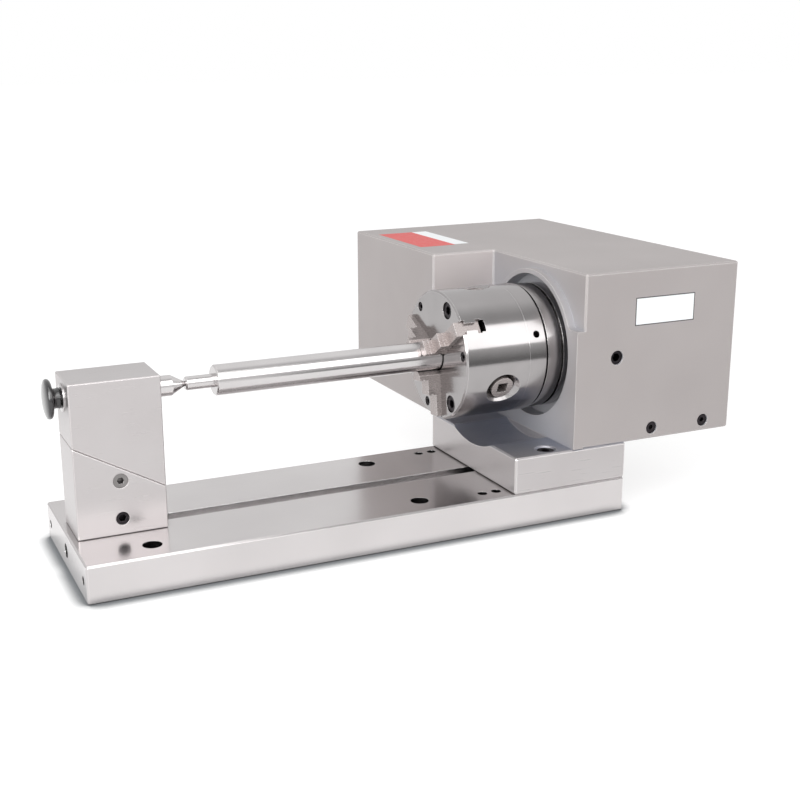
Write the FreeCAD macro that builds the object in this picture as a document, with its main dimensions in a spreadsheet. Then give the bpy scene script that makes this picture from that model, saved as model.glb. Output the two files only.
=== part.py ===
import FreeCAD, Part
import Sketcher
import math
import os
import re

# Motorised punch former for grinding round punches between a chuck and a sprung centre.
# X runs from the tailstock to the headstock, Y to the motor side and Z up.
# The origin is the middle of the underside of the base plate. All sizes are in millimetres.

# How far a cutting tool runs past the face that it opens
PAST = 1

SIZES = {
    # base plate
    "base_length": 338, "base_width": 110, "base_height": 22, "edge_break": 1.0,
    "base_bolt_from_left": 40, "base_bolt_from_foot": 56, "base_bolt_gap_y": 77,
    "bolt_hole": 6.6, "bolt_body": 6.0, "bolt_head": 10, "bolt_head_height": 6,
    "bolt_head_hole": 11, "bolt_head_sink": 6.8, "bolt_socket": 5,
    "groove_width": 10, "groove_depth": 5, "groove_from_left": 6, "groove_under_foot": 16,
    "pair_hole": 6, "pair_hole_depth": 12, "pair_gap": 9.5, "pair_from_foot": 6.5, "pair_side": 43.5,
    "end_hole": 8.5, "end_hole_height": 11, "end_hole_depth": 20,
    "end_pin_hole": 5, "end_pin_side": 46, "end_pin_depth": 12,
    # headstock foot
    "foot_length": 79, "foot_height": 23, "swing_radius": 60.5,
    "foot_bolt_from_left": 26.6, "foot_bolt_gap": 41.4, "foot_bolt_side": 45.4,
    "foot_bolt_bite": 14, "foot_bolt_rim": 1.2, "axis_height": 100,
    # headstock housing
    "housing_length": 158, "housing_height": 108, "motor_bay_depth": 124, "notch_length": 45.5,
    "wall": 8, "front_wall": 20, "pad_proud": 5, "pad_radius": 48.5, "pad_ledge": 18.5,
    "pad_blend": 5, "recess_radius": 45.5, "recess_depth": 9,
    "housing_bolt_side": 30, "housing_bolt_bite": 14,
    # covers, lock screw and cable gland
    "cover_height": 12, "cover_gap": 0.3, "cover_lift": 0.5, "cover_screw": 5, "cover_screw_head": 7.6,
    "cover_screw_head_height": 4.2, "cover_screw_socket": 3, "cover_screw_sink": 0.8,
    "cover_screw_bite": 6, "cover_screw_from_right": 20.5, "cover_screw_gap": 39.5, "cover_screw_height": 7,
    "end_cover_height": 3, "end_cover_edge": 12, "end_cover_foot": 6, "end_cover_lap": 10,
    "end_screw": 4, "end_screw_head": 7, "end_screw_cone": 1.8, "end_screw_slack": 0.2,
    "end_screw_socket": 2.5, "lock_screw": 9, "lock_screw_sink": 1.2, "lock_screw_socket": 5,
    "gland_from_right": 22, "gland_height": 24, "gland_thread": 16, "gland_hex": 22,
    "gland_collar": 6, "gland_reach": 19, "gland_step": 1.5, "gland_bore": 8,
    # spindle and bearings
    "flange_inset": 1.1, "flange_radius": 39.3, "flange_height": 6.4, "spindle_radius": 15,
    "spindle_collar": 3, "spindle_bore": 20, "pulley_seat_step": 1,
    "tube_radius": 36, "tube_flange_radius": 44, "tube_flange_height": 8.2, "tube_lip": 4,
    "tube_overhang": 2, "bearing_radius": 31, "bearing_width": 16, "race_height": 4.2,
    "ball_radius": 4.2, "ball_count": 9, "fit_gap": 0.05, "front_bearing_gap": 5, "end_room": 13,
    "nut_radius": 20, "nut_height": 6, "nut_slot_width": 4, "nut_slot_depth": 1.5,
    # belt drive and motor
    "pulley_gap": 2, "pulley_width": 15, "pulley_rim_height": 2, "pulley_rim_width": 2,
    "spindle_pulley_radius": 28, "motor_pulley_radius": 14, "belt_height": 2.4, "belt_width": 10.4,
    "motor_radius": 40, "motor_gap": 5, "motor_bevel": 3, "motor_cap_length": 8,
    "motor_cap_step": 2, "motor_shaft": 10, "motor_shaft_root": 12,
    "bracket_height": 6, "bracket_width": 92, "bracket_toe": 30, "bracket_toe_height": 3,
    "bracket_hole": 22, "motor_screw": 5, "motor_screw_circle": 31, "motor_screw_bite": 6,
    "motor_screw_head": 8, "motor_screw_head_height": 3, "motor_screw_socket": 4,
    # adaptor and chuck
    "adaptor_length": 12.7, "adaptor_groove": 1.8, "adaptor_groove_depth": 2.6,
    "adaptor_screw": 5, "adaptor_screw_head": 8.5, "adaptor_screw_head_height": 5,
    "adaptor_screw_socket": 4, "adaptor_screw_sink": 0.5, "adaptor_screw_circle": 28,
    "screw_slack": 0.5, "back_plate_length": 11.5, "chuck_radius": 40, "chuck_length": 43,
    "chuck_bore": 20, "chuck_bevel": 1, "jaw_angle": 54, "chuck_screw_lag": 30,
    "chuck_screw_circle": 33, "chuck_screw_head_hole": 10.6, "chuck_screw_bite": 10,
    "face_screw_lead": 26, "face_screw_circle": 34.5, "face_screw": 4, "face_screw_head": 5.7,
    "face_screw_head_hole": 6, "face_screw_head_height": 3.2, "face_screw_socket": 2.6,
    "face_screw_sink": 0.6, "face_screw_bite": 8,
    "rim_hole": 4.4, "rim_hole_angle": 67, "rim_hole_depth": 8, "flange_hole_angle": -12,
    # jaws
    "jaw_width": 9, "jaw_neck": 4.7, "jaw_lip": 2.6, "jaw_foot_height": 3, "jaw_depth": 13,
    "jaw_reach": 14.3, "jaw_second_step": 8.6, "jaw_third_step": 3.4, "jaw_length": 28.5,
    "jaw_first_land": 5.4, "jaw_second_land": 9.5, "jaw_nose": 4.4, "jaw_gap": 0.1,
    "jaw_relief_width": 1.4, "jaw_relief_depth": 0.6,
    "tooth_width": 1.9, "tooth_rail": 7,
    # scroll and pinions
    "scroll_pitch": 5, "thread_width": 2.1, "thread_height": 2.3, "thread_lead_in": 0.2,
    "scroll_gap": 0.3, "scroll_radius": 28.4, "scroll_bore": 28, "scroll_hub_radius": 19.5,
    "scroll_hub_back": 21.4, "pinion_depth": 26.7, "crown_teeth": 36, "pinion_teeth": 8,
    "mesh_radius": 24, "mesh_inner": 20, "mesh_outer": 27.5, "addendum": 0.9, "dedendum": 1.25,
    "tooth_share": 0.36, "pressure_angle": 20, "pinion_root_lean": 9, "pinion_tip_lean": 4.6,
    "pinion_head_end": 38.6, "pinion_pilot": 5, "pinion_pilot_end": 15.5, "pinion_square": 6.5,
    "pinion_square_depth": 8, "pinion_rim": 4.2,
    # bar between chuck and centre
    "bar_diameter": 18, "pin_diameter": 8, "pin_length": 17, "bar_in_chuck": 9,
    "centre_hole": 2.8, "centre_bite": 2.2, "bar_bevel": 0.8,
    # tailstock
    "tail_inset": 4, "tail_length": 51, "tail_width": 34, "tail_height": 89, "tail_bevel": 0.5,
    "seam_angle": 29, "seam_height": 39, "seam_gap": 0.03,
    "tongue_width": 10, "tongue_depth": 13, "tongue_root": 3, "tongue_gap": 0.05,
    "tongue_inset": 4, "tongue_room": 1, "height_travel": 3,
    "key_length": 40, "key_stem_height": 13, "key_width": 9.9, "key_lift": 0.2,
    "clamp_screw": 6, "clamp_screw_slack": 0.1, "clamp_head": 8.4, "clamp_head_sink": 0.4,
    "clamp_seat_depth": 5.4, "clamp_washer": 8.4, "clamp_washer_height": 1.2,
    "clamp_socket": 3.6, "clamp_socket_depth": 2.4, "clamp_screw_height": 31.5,
    "stud": 7.6, "stud_height": 9.5, "stud_sink": 1, "stud_socket": 4, "stud_socket_depth": 4,
    # sprung centre and its knob
    "centre_diameter": 12, "centre_reach": 20.2, "centre_angle": 30, "quill_guide": 14,
    "quill_rod": 8, "collar_length": 4, "collar_gap": 0.2, "bush_radius": 7.8, "bush_length": 10,
    "bush_proud": 1.2, "bush_step": 0.6, "knob_radius": 11.2, "knob_height": 5.3, "knob_neck": 3.7,
    "knob_neck_radius": 6.2, "knob_gap": 0.3, "spring_wire": 1.2, "spring_turns": 5, "spring_gap": 0.15,
}

# Places worked out from the sizes, in the same frame
PLACES = {
    "base_left": "-base_length / 2",
    "base_right": "base_length / 2",
    "base_front": "-base_width / 2",
    "base_back": "base_width / 2",
    "foot_left": "base_right - foot_length",
    "bolt_left": "base_left + base_bolt_from_left",
    "bolt_right": "foot_left - base_bolt_from_foot",
    "foot_top": "base_height + foot_height",
    "house_right": "foot_left + housing_length",
    "house_back": "base_back + motor_bay_depth",
    "house_top": "foot_top + housing_height",
    "notch_face": "foot_left + notch_length",
    "pad_face": "notch_face - pad_proud",
    "inner_face": "notch_face + front_wall",
    "recess_floor": "pad_face + recess_depth",
    "flange_front": "pad_face + flange_inset",
    "flange_rear": "flange_front + flange_height",
    "front_bearing": "flange_rear + front_bearing_gap",
    "pulley_rear": "house_right - end_cover_height - end_room - nut_height",
    "pulley_front": "pulley_rear - pulley_width",
    "rear_bearing_end": "pulley_front - pulley_gap - nut_height",
    "rear_bearing": "rear_bearing_end - bearing_width",
    "pulley_seat": "spindle_radius - pulley_seat_step",
    "ball_circle": "(spindle_radius + bearing_radius) / 2",
    "motor_side": "base_back + motor_bay_depth / 2",
    "motor_face": "pulley_front - pulley_gap - bracket_height",
    "motor_length": "motor_face - foot_left - wall - motor_gap",
    "cover_floor": "foot_top + cover_height",
    "end_cover_low": "foot_top + end_cover_edge + end_cover_foot",
    "adaptor_front": "flange_front - adaptor_length",
    "seam_face": "adaptor_front - back_plate_length",
    "chuck_face": "seam_face - chuck_length",
    "grip_radius": "bar_diameter / 2 + jaw_gap",
    "jaw_slot": "jaw_width + 2 * fit_gap",
    "scroll_face": "jaw_depth + scroll_gap",
    "cavity_radius": "scroll_radius + scroll_gap",
    "pinion_pitch_radius": "mesh_radius * pinion_teeth / crown_teeth",
    "pinion_head_radius": "(pinion_pitch_radius + addendum) * mesh_outer / mesh_radius",
    "tail_left": "base_left + tail_inset",
    "tail_right": "tail_left + tail_length",
    "tail_middle": "tail_left + tail_length / 2",
    "tail_top": "base_height + tail_height",
    "seam_middle": "base_height + seam_height",
    "pin_end": "tail_right + centre_reach - centre_bite",
}

doc = FreeCAD.newDocument("PunchFormer")
finished = []


def make_sheet(label, cells):
    """A spreadsheet whose cells are named for what they hold."""
    sheet = doc.addObject("Spreadsheet::Sheet", label)
    for row, (alias, content) in enumerate(cells.items(), start=1):
        sheet.set(f"A{row}", alias)
        sheet.set(f"B{row}", content)
        sheet.setAlias(f"B{row}", alias)
    doc.recompute()
    return sheet


def linked(text):
    """Write a formula in the sheets' names as an expression that points to their cells."""
    def owner(match):
        word = match.group(0)
        if word in SIZES:
            return f"Sizes.{word}"
        return f"Places.{word}" if word in PLACES else word
    return re.sub(r"[A-Za-z_][A-Za-z_0-9]*", owner, str(text))


def local(text):
    """The same formula as a cell of the sheet of places."""
    return "=" + re.sub(r"[A-Za-z_][A-Za-z_0-9]*",
                        lambda m: f"Sizes.{m.group(0)}" if m.group(0) in SIZES else m.group(0), text)


sizes = make_sheet("Sizes", {alias: str(value) for alias, value in SIZES.items()})
places = make_sheet("Places", {alias: local(formula) for alias, formula in PLACES.items()})


def size(alias):
    """The present value of a size or a place, for shapes that code works out."""
    return float(sizes.get(alias) if alias in SIZES else places.get(alias))


def bind(obj, **formulas):
    """Tie properties to formulas. A double underscore in a name stands for a dot."""
    for name, formula in formulas.items():
        obj.setExpression(name.replace("__", "."), linked(formula))
    return obj


def put(obj, x, y, z, turn=None):
    """Place an object by three formulas, and turn it about an axis by so many degrees."""
    if turn:
        axis, degrees = turn
        obj.Placement = FreeCAD.Placement(FreeCAD.Vector(), FreeCAD.Rotation(axis, degrees))
    return bind(obj, Placement__Base__x=x, Placement__Base__y=y, Placement__Base__z=z)


def ready(obj, label):
    """Name a finished piece, so that it is written to its own file."""
    obj.Label = label
    finished.append(obj)
    return obj


AXIS_X = FreeCAD.Vector(1, 0, 0)
AXIS_Y = FreeCAD.Vector(0, 1, 0)
AXIS_Z = FreeCAD.Vector(0, 0, 1)
ALONG = {
    "X": (AXIS_Y, 90), "-X": (AXIS_Y, -90),
    "Y": (AXIS_X, -90), "-Y": (AXIS_X, 90),
    "Z": (AXIS_Z, 0), "-Z": (AXIS_X, 180),
}


def block(x, y, z, length, width, height):
    """A plain box from its lowest corner."""
    box = doc.addObject("Part::Box", "Block")
    bind(box, Length=length, Width=width, Height=height)
    return put(box, x, y, z)


def moved(direction, point, distance):
    """A point's three formulas, moved by a distance along a direction."""
    sign = "-" if direction.startswith("-") else "+"
    return [f"({value}) {sign} ({distance})" if name == direction[-1] else value
            for name, value in zip("XYZ", point)]


def rod(direction, x, y, z, diameter, length):
    """A round bar that starts at a point and runs along a direction."""
    bar = doc.addObject("Part::Cylinder", "Rod")
    bind(bar, Radius=f"({diameter}) / 2", Height=length)
    return put(bar, x, y, z, ALONG[direction])


def drill(direction, x, y, z, diameter, depth, through=False):
    """The tool of a round hole: its mouth is at the point, and its depth runs along the direction."""
    start = moved(direction, (x, y, z), -PAST)
    return rod(direction, *start, diameter, f"({depth}) + {2 * PAST if through else PAST}")


def cone(direction, x, y, z, first_diameter, last_diameter, length):
    """A taper that starts at a point and runs along a direction."""
    taper = doc.addObject("Part::Cone", "Taper")
    bind(taper, Radius1=f"({first_diameter}) / 2", Radius2=f"({last_diameter}) / 2", Height=length)
    return put(taper, x, y, z, ALONG[direction])


def hexagon(direction, x, y, z, across_flats, length):
    """A six-sided bar, measured across its flats."""
    prism = doc.addObject("Part::Prism", "Hexagon")
    prism.Polygon = 6
    bind(prism, Circumradius=f"({across_flats}) / 2 / cos(30)", Height=length)
    return put(prism, x, y, z, ALONG[direction])


def fuse(parts):
    """Join several shapes."""
    if len(parts) == 1:
        return parts[0]
    joined = doc.addObject("Part::MultiFuse", "Joined")
    joined.Shapes = parts
    joined.Refine = True
    return joined


def cut(base, tools):
    """Take several shapes away from a base."""
    result = doc.addObject("Part::Cut", "Cut")
    result.Base = base
    result.Tool = fuse(tools)
    result.Refine = True
    return result


def group(parts):
    """Several separate solids that share one name."""
    bundle = doc.addObject("Part::Compound", "Group")
    bundle.Links = parts
    return bundle


def plane_of(body, role):
    """One of a body's own origin planes, found by its role."""
    return next(item for item in body.Origin.OriginFeatures if item.Role == role)


def outline(body, role, corners):
    """A closed sketch of straight sides, with every corner tied to two formulas."""
    sketch = body.newObject("Sketcher::SketchObject", "Outline")
    sketch.AttachmentSupport = [(plane_of(body, role), "")]
    sketch.MapMode = "FlatFace"
    start = [FreeCAD.Vector(math.cos(6.28 * i / len(corners)), math.sin(6.28 * i / len(corners)), 0)
             for i in range(len(corners))]
    for i, point in enumerate(start):
        sketch.addGeometry(Part.LineSegment(point, start[(i + 1) % len(start)]), False)
    for i in range(len(corners)):
        sketch.addConstraint(Sketcher.Constraint("Coincident", i, 2, (i + 1) % len(corners), 1))
    for i, (across, up) in enumerate(corners):
        first = sketch.addConstraint(Sketcher.Constraint("DistanceX", -1, 1, i, 1, start[i].x))
        second = sketch.addConstraint(Sketcher.Constraint("DistanceY", -1, 1, i, 1, start[i].y))
        sketch.setExpression(f"Constraints[{first}]", linked(across))
        sketch.setExpression(f"Constraints[{second}]", linked(up))
    return sketch


def turned(corners, x, y="0", z="axis_height", turn=None):
    """A turned piece: (distance along the axis, radius) corners, spun about its own X axis."""
    body = doc.addObject("PartDesign::Body", "Turned")
    sketch = outline(body, "XY_Plane", corners)
    spin = body.newObject("PartDesign::Revolution", "Spin")
    spin.Profile = sketch
    spin.ReferenceAxis = (sketch, ["H_Axis"])
    spin.Angle = 360
    put(body, x, y, z, turn)
    return body


def slab(role, corners, height, x="0", y="0", z="0", bevel=None):
    """A sketched outline raised to a height, with all its edges broken where bevel is given."""
    body = doc.addObject("PartDesign::Body", "Slab")
    sketch = outline(body, role, corners)
    pad = body.newObject("PartDesign::Pad", "Raise")
    pad.Profile = sketch
    bind(pad, Length=height)
    if bevel:
        doc.recompute()
        edge = body.newObject("PartDesign::Chamfer", "EdgeBreak")
        edge.Base = (pad, [f"Edge{i + 1}" for i in range(len(pad.Shape.Edges))])
        bind(edge, Size=bevel)
    put(body, x, y, z)
    return body


def on_circle(radius, angle):
    """Y and Z formulas of a point around the spindle axis, turned from straight up."""
    return f"-({radius}) * sin({angle})", f"axis_height + ({radius}) * cos({angle})"


def rectangle(low_x, low_y, high_x, high_y):
    """The corners of a rectangle."""
    return [(low_x, low_y), (high_x, low_y), (high_x, high_y), (low_x, high_y)]


def cap_screw(direction, x, y, z, length, thread="bolt_body", head="bolt_head",
              head_height="bolt_head_height", socket="bolt_socket"):
    """A socket head screw. The point is the top of its head, and it points along the direction."""
    under = moved(direction, (x, y, z), head_height)
    body = fuse([rod(direction, x, y, z, head, head_height), rod(direction, *under, thread, length)])
    return cut(body, [hexagon(direction, x, y, z, socket, f"({head_height}) / 2")])


# Base plate

def base_plate():
    plate = slab("XY_Plane", rectangle("base_left", "base_front", "base_right", "base_back"),
                 "base_height", bevel="edge_break")
    groove_start = "base_left + groove_from_left"
    tools = [block(groove_start, "-groove_width / 2", "base_height - groove_depth",
                   f"foot_left + groove_under_foot - ({groove_start})", "groove_width",
                   f"groove_depth + {PAST}")]
    for x in ("bolt_left", "bolt_right"):
        for y in ("-base_bolt_gap_y / 2", "base_bolt_gap_y / 2"):
            tools.append(drill("Z", x, y, "0", "bolt_hole", "base_height", through=True))
            tools.append(drill("-Z", x, y, "base_height", "bolt_head_hole", "bolt_head_sink"))
    for side in ("-", ""):
        for x in ("foot_left - pair_from_foot", "foot_left - pair_from_foot - pair_gap"):
            tools.append(drill("-Z", x, f"{side}pair_side", "base_height", "pair_hole", "pair_hole_depth"))
        for end, way in (("base_left", "X"), ("base_right", "-X")):
            tools.append(drill(way, end, f"{side}end_pin_side", "end_hole_height", "end_pin_hole",
                               "end_pin_depth"))
    tools.append(drill("X", "base_left", "0", "end_hole_height", "end_hole", "end_hole_depth"))
    for x, y in foot_bolt_places():
        tools.append(drill("-Z", x, y, "base_height", "bolt_body", "foot_bolt_bite"))
    ready(cut(plate, tools), "base_plate")


def foot_bolt_places():
    """Where the screws that hold the foot to the base plate stand."""
    first = "foot_left + foot_bolt_from_left"
    return [(x, f"{side}foot_bolt_side") for x in (first, f"{first} + foot_bolt_gap") for side in ("-", "")]


def housing_bolt_places():
    """Where the screws that hold the housing to the foot stand."""
    x = "notch_face + front_wall / 2"
    return [(x, f"housing_bolt_side * {share}") for share in ("-1", "-1 / 3", "1 / 3", "1")]


# Headstock

def headstock_foot():
    foot = slab("XY_Plane", rectangle("foot_left", "base_front", "base_right", "base_back"),
                "foot_height", z="base_height", bevel="edge_break")
    tools = [drill("X", "foot_left", "0", "axis_height", "2 * swing_radius", "pad_face - foot_left")]
    for x, y in foot_bolt_places():
        tools.append(drill("Z", x, y, "base_height", "bolt_hole", "foot_height", through=True))
        tools.append(drill("-Z", x, y, "foot_top", "bolt_head_hole", "bolt_head_sink"))
        tools.append(cone("-Z", x, y, "foot_top", "bolt_head_hole + 2 * foot_bolt_rim", "bolt_head_hole",
                          "foot_bolt_rim"))
    for x, y in housing_bolt_places():
        tools.append(drill("Z", x, y, "base_height", "bolt_hole", "foot_height", through=True))
        tools.append(drill("Z", x, y, "base_height", "bolt_head_hole", "bolt_head_sink"))
    ready(cut(foot, tools), "headstock_foot")
    held = "foot_height - bolt_head_sink"
    screws = [cap_screw("-Z", x, y, "foot_top - bolt_head_sink + bolt_head_height", f"{held} + foot_bolt_bite")
              for x, y in foot_bolt_places()]
    ready(group(screws), "foot_screws")
    screws = [cap_screw("Z", x, y, "base_height + bolt_head_sink - bolt_head_height",
                        f"{held} + housing_bolt_bite") for x, y in housing_bolt_places()]
    ready(group(screws), "housing_screws")


def pad_shape():
    """The raised pad round the spindle: a ledge that swells into a round boss."""
    radius, ledge, blend = size("pad_radius"), size("pad_ledge"), size("pad_blend")
    front, back, axis = size("base_front"), size("base_back"), size("axis_height")
    low = size("foot_top") - axis
    blend_y = math.sqrt((radius + blend) ** 2 - (ledge + blend) ** 2)
    blend_z = ledge + blend
    share = radius / (radius + blend)

    def at(y, z):
        return FreeCAD.Vector(0, y, axis + z)

    def blend_arc(side):
        """The hollow arc between the ledge and the boss, on one side."""
        middle = (math.atan2(-blend, 0) + math.atan2(-blend_z, -blend_y)) / 2
        between = at(side * (blend_y + blend * math.cos(middle)), blend_z + blend * math.sin(middle))
        return Part.Arc(at(side * blend_y, ledge), between, at(side * blend_y * share, blend_z * share))

    edges = [
        Part.LineSegment(at(front, low), at(back, low)),
        Part.LineSegment(at(back, low), at(back, ledge)),
        Part.LineSegment(at(back, ledge), at(blend_y, ledge)),
        blend_arc(1),
        Part.Arc(at(blend_y * share, blend_z * share), at(0, radius), at(-blend_y * share, blend_z * share)),
        blend_arc(-1),
        Part.LineSegment(at(-blend_y, ledge), at(front, ledge)),
        Part.LineSegment(at(front, ledge), at(front, low)),
    ]
    face = Part.Face(Part.Wire(Part.__sortEdges__([edge.toShape() for edge in edges])))
    return face.extrude(FreeCAD.Vector(size("pad_proud") + size("edge_break") * 2, 0, 0))


def headstock_housing():
    """The L-shaped casting: a notch for the chuck in front and a bay for the motor behind."""
    profile = [("foot_left", "base_back"), ("notch_face", "base_back"), ("notch_face", "base_front"),
               ("house_right", "base_front"), ("house_right", "house_back"), ("foot_left", "house_back")]
    shell = slab("XY_Plane", profile, "housing_height", z="foot_top", bevel="edge_break")
    pad = doc.addObject("Part::Feature", "Pad")
    pad.Shape = pad_shape()
    put(pad, "pad_face", "0", "0")
    low = f"foot_top - {PAST}"
    inside = f"housing_height - wall + {PAST}"
    lap = "end_cover_edge + end_cover_lap"
    tools = [
        block("inner_face", "base_front + wall", low, "house_right - wall - inner_face",
              "house_back - base_front - 2 * wall", inside),
        block("foot_left + wall", "base_back + wall", low, f"inner_face - foot_left - wall + {PAST}",
              "motor_bay_depth - 2 * wall", inside),
        drill("X", "pad_face", "0", "axis_height", "2 * recess_radius", "recess_depth"),
        drill("X", "pad_face", "0", "axis_height", "2 * tube_radius", "inner_face - pad_face", through=True),
        block("house_right - end_cover_height", "base_front + end_cover_edge", "end_cover_low",
              f"end_cover_height + {PAST}", "house_back - base_front - 2 * end_cover_edge",
              "house_top - end_cover_edge - end_cover_low"),
        block(f"house_right - wall - {PAST}", f"base_front + {lap}", "end_cover_low + end_cover_lap",
              f"wall + {2 * PAST}", f"house_back - base_front - 2 * ({lap})",
              f"house_top - ({lap}) - end_cover_low - end_cover_lap"),
        drill("Y", "inner_face + tube_flange_height / 2", "base_front", "axis_height", "lock_screw",
              "-base_front - tube_flange_radius"),
        drill("-Y", "house_right - gland_from_right", "house_back", "foot_top + gland_height",
              "gland_thread", "wall", through=True),
    ]
    for x, y in housing_bolt_places():
        tools.append(drill("Z", x, y, "foot_top", "bolt_body", "housing_bolt_bite"))
    for x in cover_screw_places():
        for start, way in (("base_front", "Y"), ("house_back", "-Y")):
            tools.append(drill(way, x, start, "foot_top + cover_screw_height",
                               "cover_screw_head + screw_slack", "wall", through=True))
    for y, z in end_screw_places():
        tools.append(drill("-X", "house_right", y, z, "end_screw", "wall", through=True))
    ready(cut(fuse([shell, pad]), tools), "headstock_housing")


def cover_screw_places():
    """How far along the housing the screws of the bottom cover stand."""
    last = "house_right - cover_screw_from_right"
    return [f"{last} - cover_screw_gap", last]


def end_screw_places():
    """Where the screws of the end cover stand."""
    inset = "end_cover_edge + end_cover_lap / 2"
    rows = ("end_cover_low + end_cover_lap / 2", f"house_top - ({inset})")
    columns = (f"base_front + {inset}", "(base_front + house_back) / 2", f"house_back - ({inset})")
    return [(y, z) for y in columns for z in rows]


def bottom_cover():
    """The plate that closes the housing from below, round the corner of the foot."""
    left, right = "foot_left + wall + cover_gap", "house_right - wall - cover_gap"
    back_row, low = "base_back + wall + cover_gap", "foot_top + cover_lift"
    height = "cover_height - cover_lift"
    plate = fuse([
        block(left, back_row, low, f"{right} - ({left})", "motor_bay_depth - 2 * wall - 2 * cover_gap", height),
        block("base_right + cover_gap", "base_front + wall + cover_gap", low,
              f"{right} - base_right - cover_gap", "base_width", height),
        block("inner_face + cover_gap", "base_back + cover_gap", low, "base_right - inner_face",
              f"wall + {PAST}", height),
    ])
    holes, screws = [], []
    for x in cover_screw_places():
        for face, way in (("base_front", "Y"), ("house_back", "-Y")):
            at = (x, face, "foot_top + cover_screw_height")
            holes.append(rod(way, *at, "cover_screw", "wall + 2 * cover_screw_bite"))
            screws.append(cap_screw(way, *moved(way, at, "cover_screw_sink"), "wall + cover_screw_bite",
                                    "cover_screw", "cover_screw_head", "cover_screw_head_height",
                                    "cover_screw_socket"))
    ready(cut(plate, holes), "bottom_cover")
    ready(group(screws), "bottom_cover_screws")


def end_cover():
    """The plate let into the right end, with countersunk screws."""
    panel = block("house_right - end_cover_height", "base_front + end_cover_edge + cover_gap",
                  "end_cover_low + cover_gap", "end_cover_height",
                  "house_back - base_front - 2 * end_cover_edge - 2 * cover_gap",
                  "house_top - end_cover_edge - end_cover_low - 2 * cover_gap")
    holes, screws = [], []
    for y, z in end_screw_places():
        holes.append(cone("-X", "house_right", y, z, "end_screw_head", "end_screw + end_screw_slack",
                          "end_screw_cone"))
        holes.append(drill("-X", "house_right", y, z, "end_screw + end_screw_slack", "end_cover_height",
                           through=True))
        top = ("house_right - end_screw_slack", y, z)
        head = cone("-X", *top, "end_screw_head - 3 * end_screw_slack", "end_screw - end_screw_slack",
                    "end_screw_cone")
        shank = rod("-X", *top, "end_screw", "wall - 2 * end_screw_slack")
        screws.append(cut(fuse([head, shank]), [hexagon("-X", *top, "end_screw_socket", "end_screw_cone")]))
    ready(cut(panel, holes), "end_cover")
    ready(group(screws), "end_cover_screws")


def lock_screw():
    """The set screw in the front wall that holds the bearing tube."""
    start = ("inner_face + tube_flange_height / 2", "base_front + lock_screw_sink", "axis_height")
    stud = rod("Y", *start, "lock_screw", "-tube_flange_radius - base_front - lock_screw_sink")
    socket = hexagon("Y", *start, "lock_screw_socket", "lock_screw_socket")
    ready(cut(stud, [socket]), "lock_screw")


def cable_gland():
    """The hollow gland in the back wall: thread, collar and dome."""
    bore, thread, collar = "gland_bore / 2", "gland_thread / 2", "gland_hex / 2"
    corners = [("0", bore), ("0", thread), ("wall", thread), ("wall", collar),
               ("wall + gland_collar", collar), ("wall + gland_collar", f"{collar} - gland_step"),
               ("wall + gland_reach - gland_collar", f"{collar} - gland_step"),
               ("wall + gland_reach", f"{bore} + gland_step"), ("wall + gland_reach", bore)]
    ready(turned(corners, "house_right - gland_from_right", "house_back - wall", "foot_top + gland_height",
                 (AXIS_Z, 90)), "cable_gland")


# Spindle and its bearings

def bearing_tube():
    flange_start = "inner_face - recess_floor"
    flange_end = f"{flange_start} + tube_flange_height"
    end, seat = "rear_bearing_end + tube_overhang - recess_floor", "front_bearing - recess_floor"
    corners = [("0", "tube_radius"), (flange_start, "tube_radius"), (flange_start, "tube_flange_radius"),
               (flange_end, "tube_flange_radius"), (flange_end, "tube_radius"), (end, "tube_radius"),
               (end, "bearing_radius"), (seat, "bearing_radius"), (seat, "bearing_radius - tube_lip"),
               ("0", "bearing_radius - tube_lip")]
    ready(turned(corners, "recess_floor"), "bearing_tube")


def bearings():
    """Two ball bearings: outer races, balls and inner races."""
    outer, inner, balls = [], [], []
    count = int(size("ball_count"))
    for start in ("front_bearing", "rear_bearing"):
        middle = f"{start} + bearing_width / 2"
        track = doc.addObject("Part::Torus", "Track")
        bind(track, Radius1="ball_circle", Radius2="ball_radius + fit_gap")
        put(track, middle, "0", "axis_height", ALONG["X"])
        ring = turned(rectangle("0", "bearing_radius - race_height", "bearing_width", "bearing_radius"), start)
        outer.append(cut(ring, [track]))
        ring = turned(rectangle("0", "spindle_radius", "bearing_width", "spindle_radius + race_height"), start)
        inner.append(cut(ring, [track]))
        for i in range(count):
            ball = doc.addObject("Part::Sphere", "Ball")
            bind(ball, Radius="ball_radius")
            balls.append(put(ball, middle, *on_circle("ball_circle", f"{360 * i / count}")))
    ready(group(outer), "bearing_outer_races")
    ready(group(inner), "bearing_inner_races")
    ready(group(balls), "bearing_balls")


def spindle():
    """The hollow spindle with its flange, and the nuts of its bearings and pulley."""
    bore, step = "spindle_bore / 2", "spindle_radius + spindle_collar"
    shoulder, seat = "front_bearing - flange_front", "pulley_front - flange_front"
    end = "pulley_rear + nut_height - flange_front"
    corners = [("0", bore), ("0", "flange_radius"), ("flange_height", "flange_radius"),
               ("flange_height", step), (shoulder, step), (shoulder, "spindle_radius"),
               (seat, "spindle_radius"), (seat, "pulley_seat"), (end, "pulley_seat"), (end, bore)]
    holes = [drill("X", "flange_front", *on_circle("adaptor_screw_circle", angle), "adaptor_screw",
                   "flange_height", through=True) for angle in adaptor_screw_angles()]
    holes.append(radial_rod("flange_front + flange_height / 2", "flange_hole_angle",
                            "flange_radius - rim_hole_depth", "rim_hole", f"rim_hole_depth + {PAST}"))
    ready(cut(turned(corners, "flange_front"), holes), "spindle")
    ready(lock_nut("rear_bearing_end", "spindle_radius"), "bearing_nut")
    ready(lock_nut("pulley_rear", "pulley_seat"), "pulley_nut")


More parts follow.
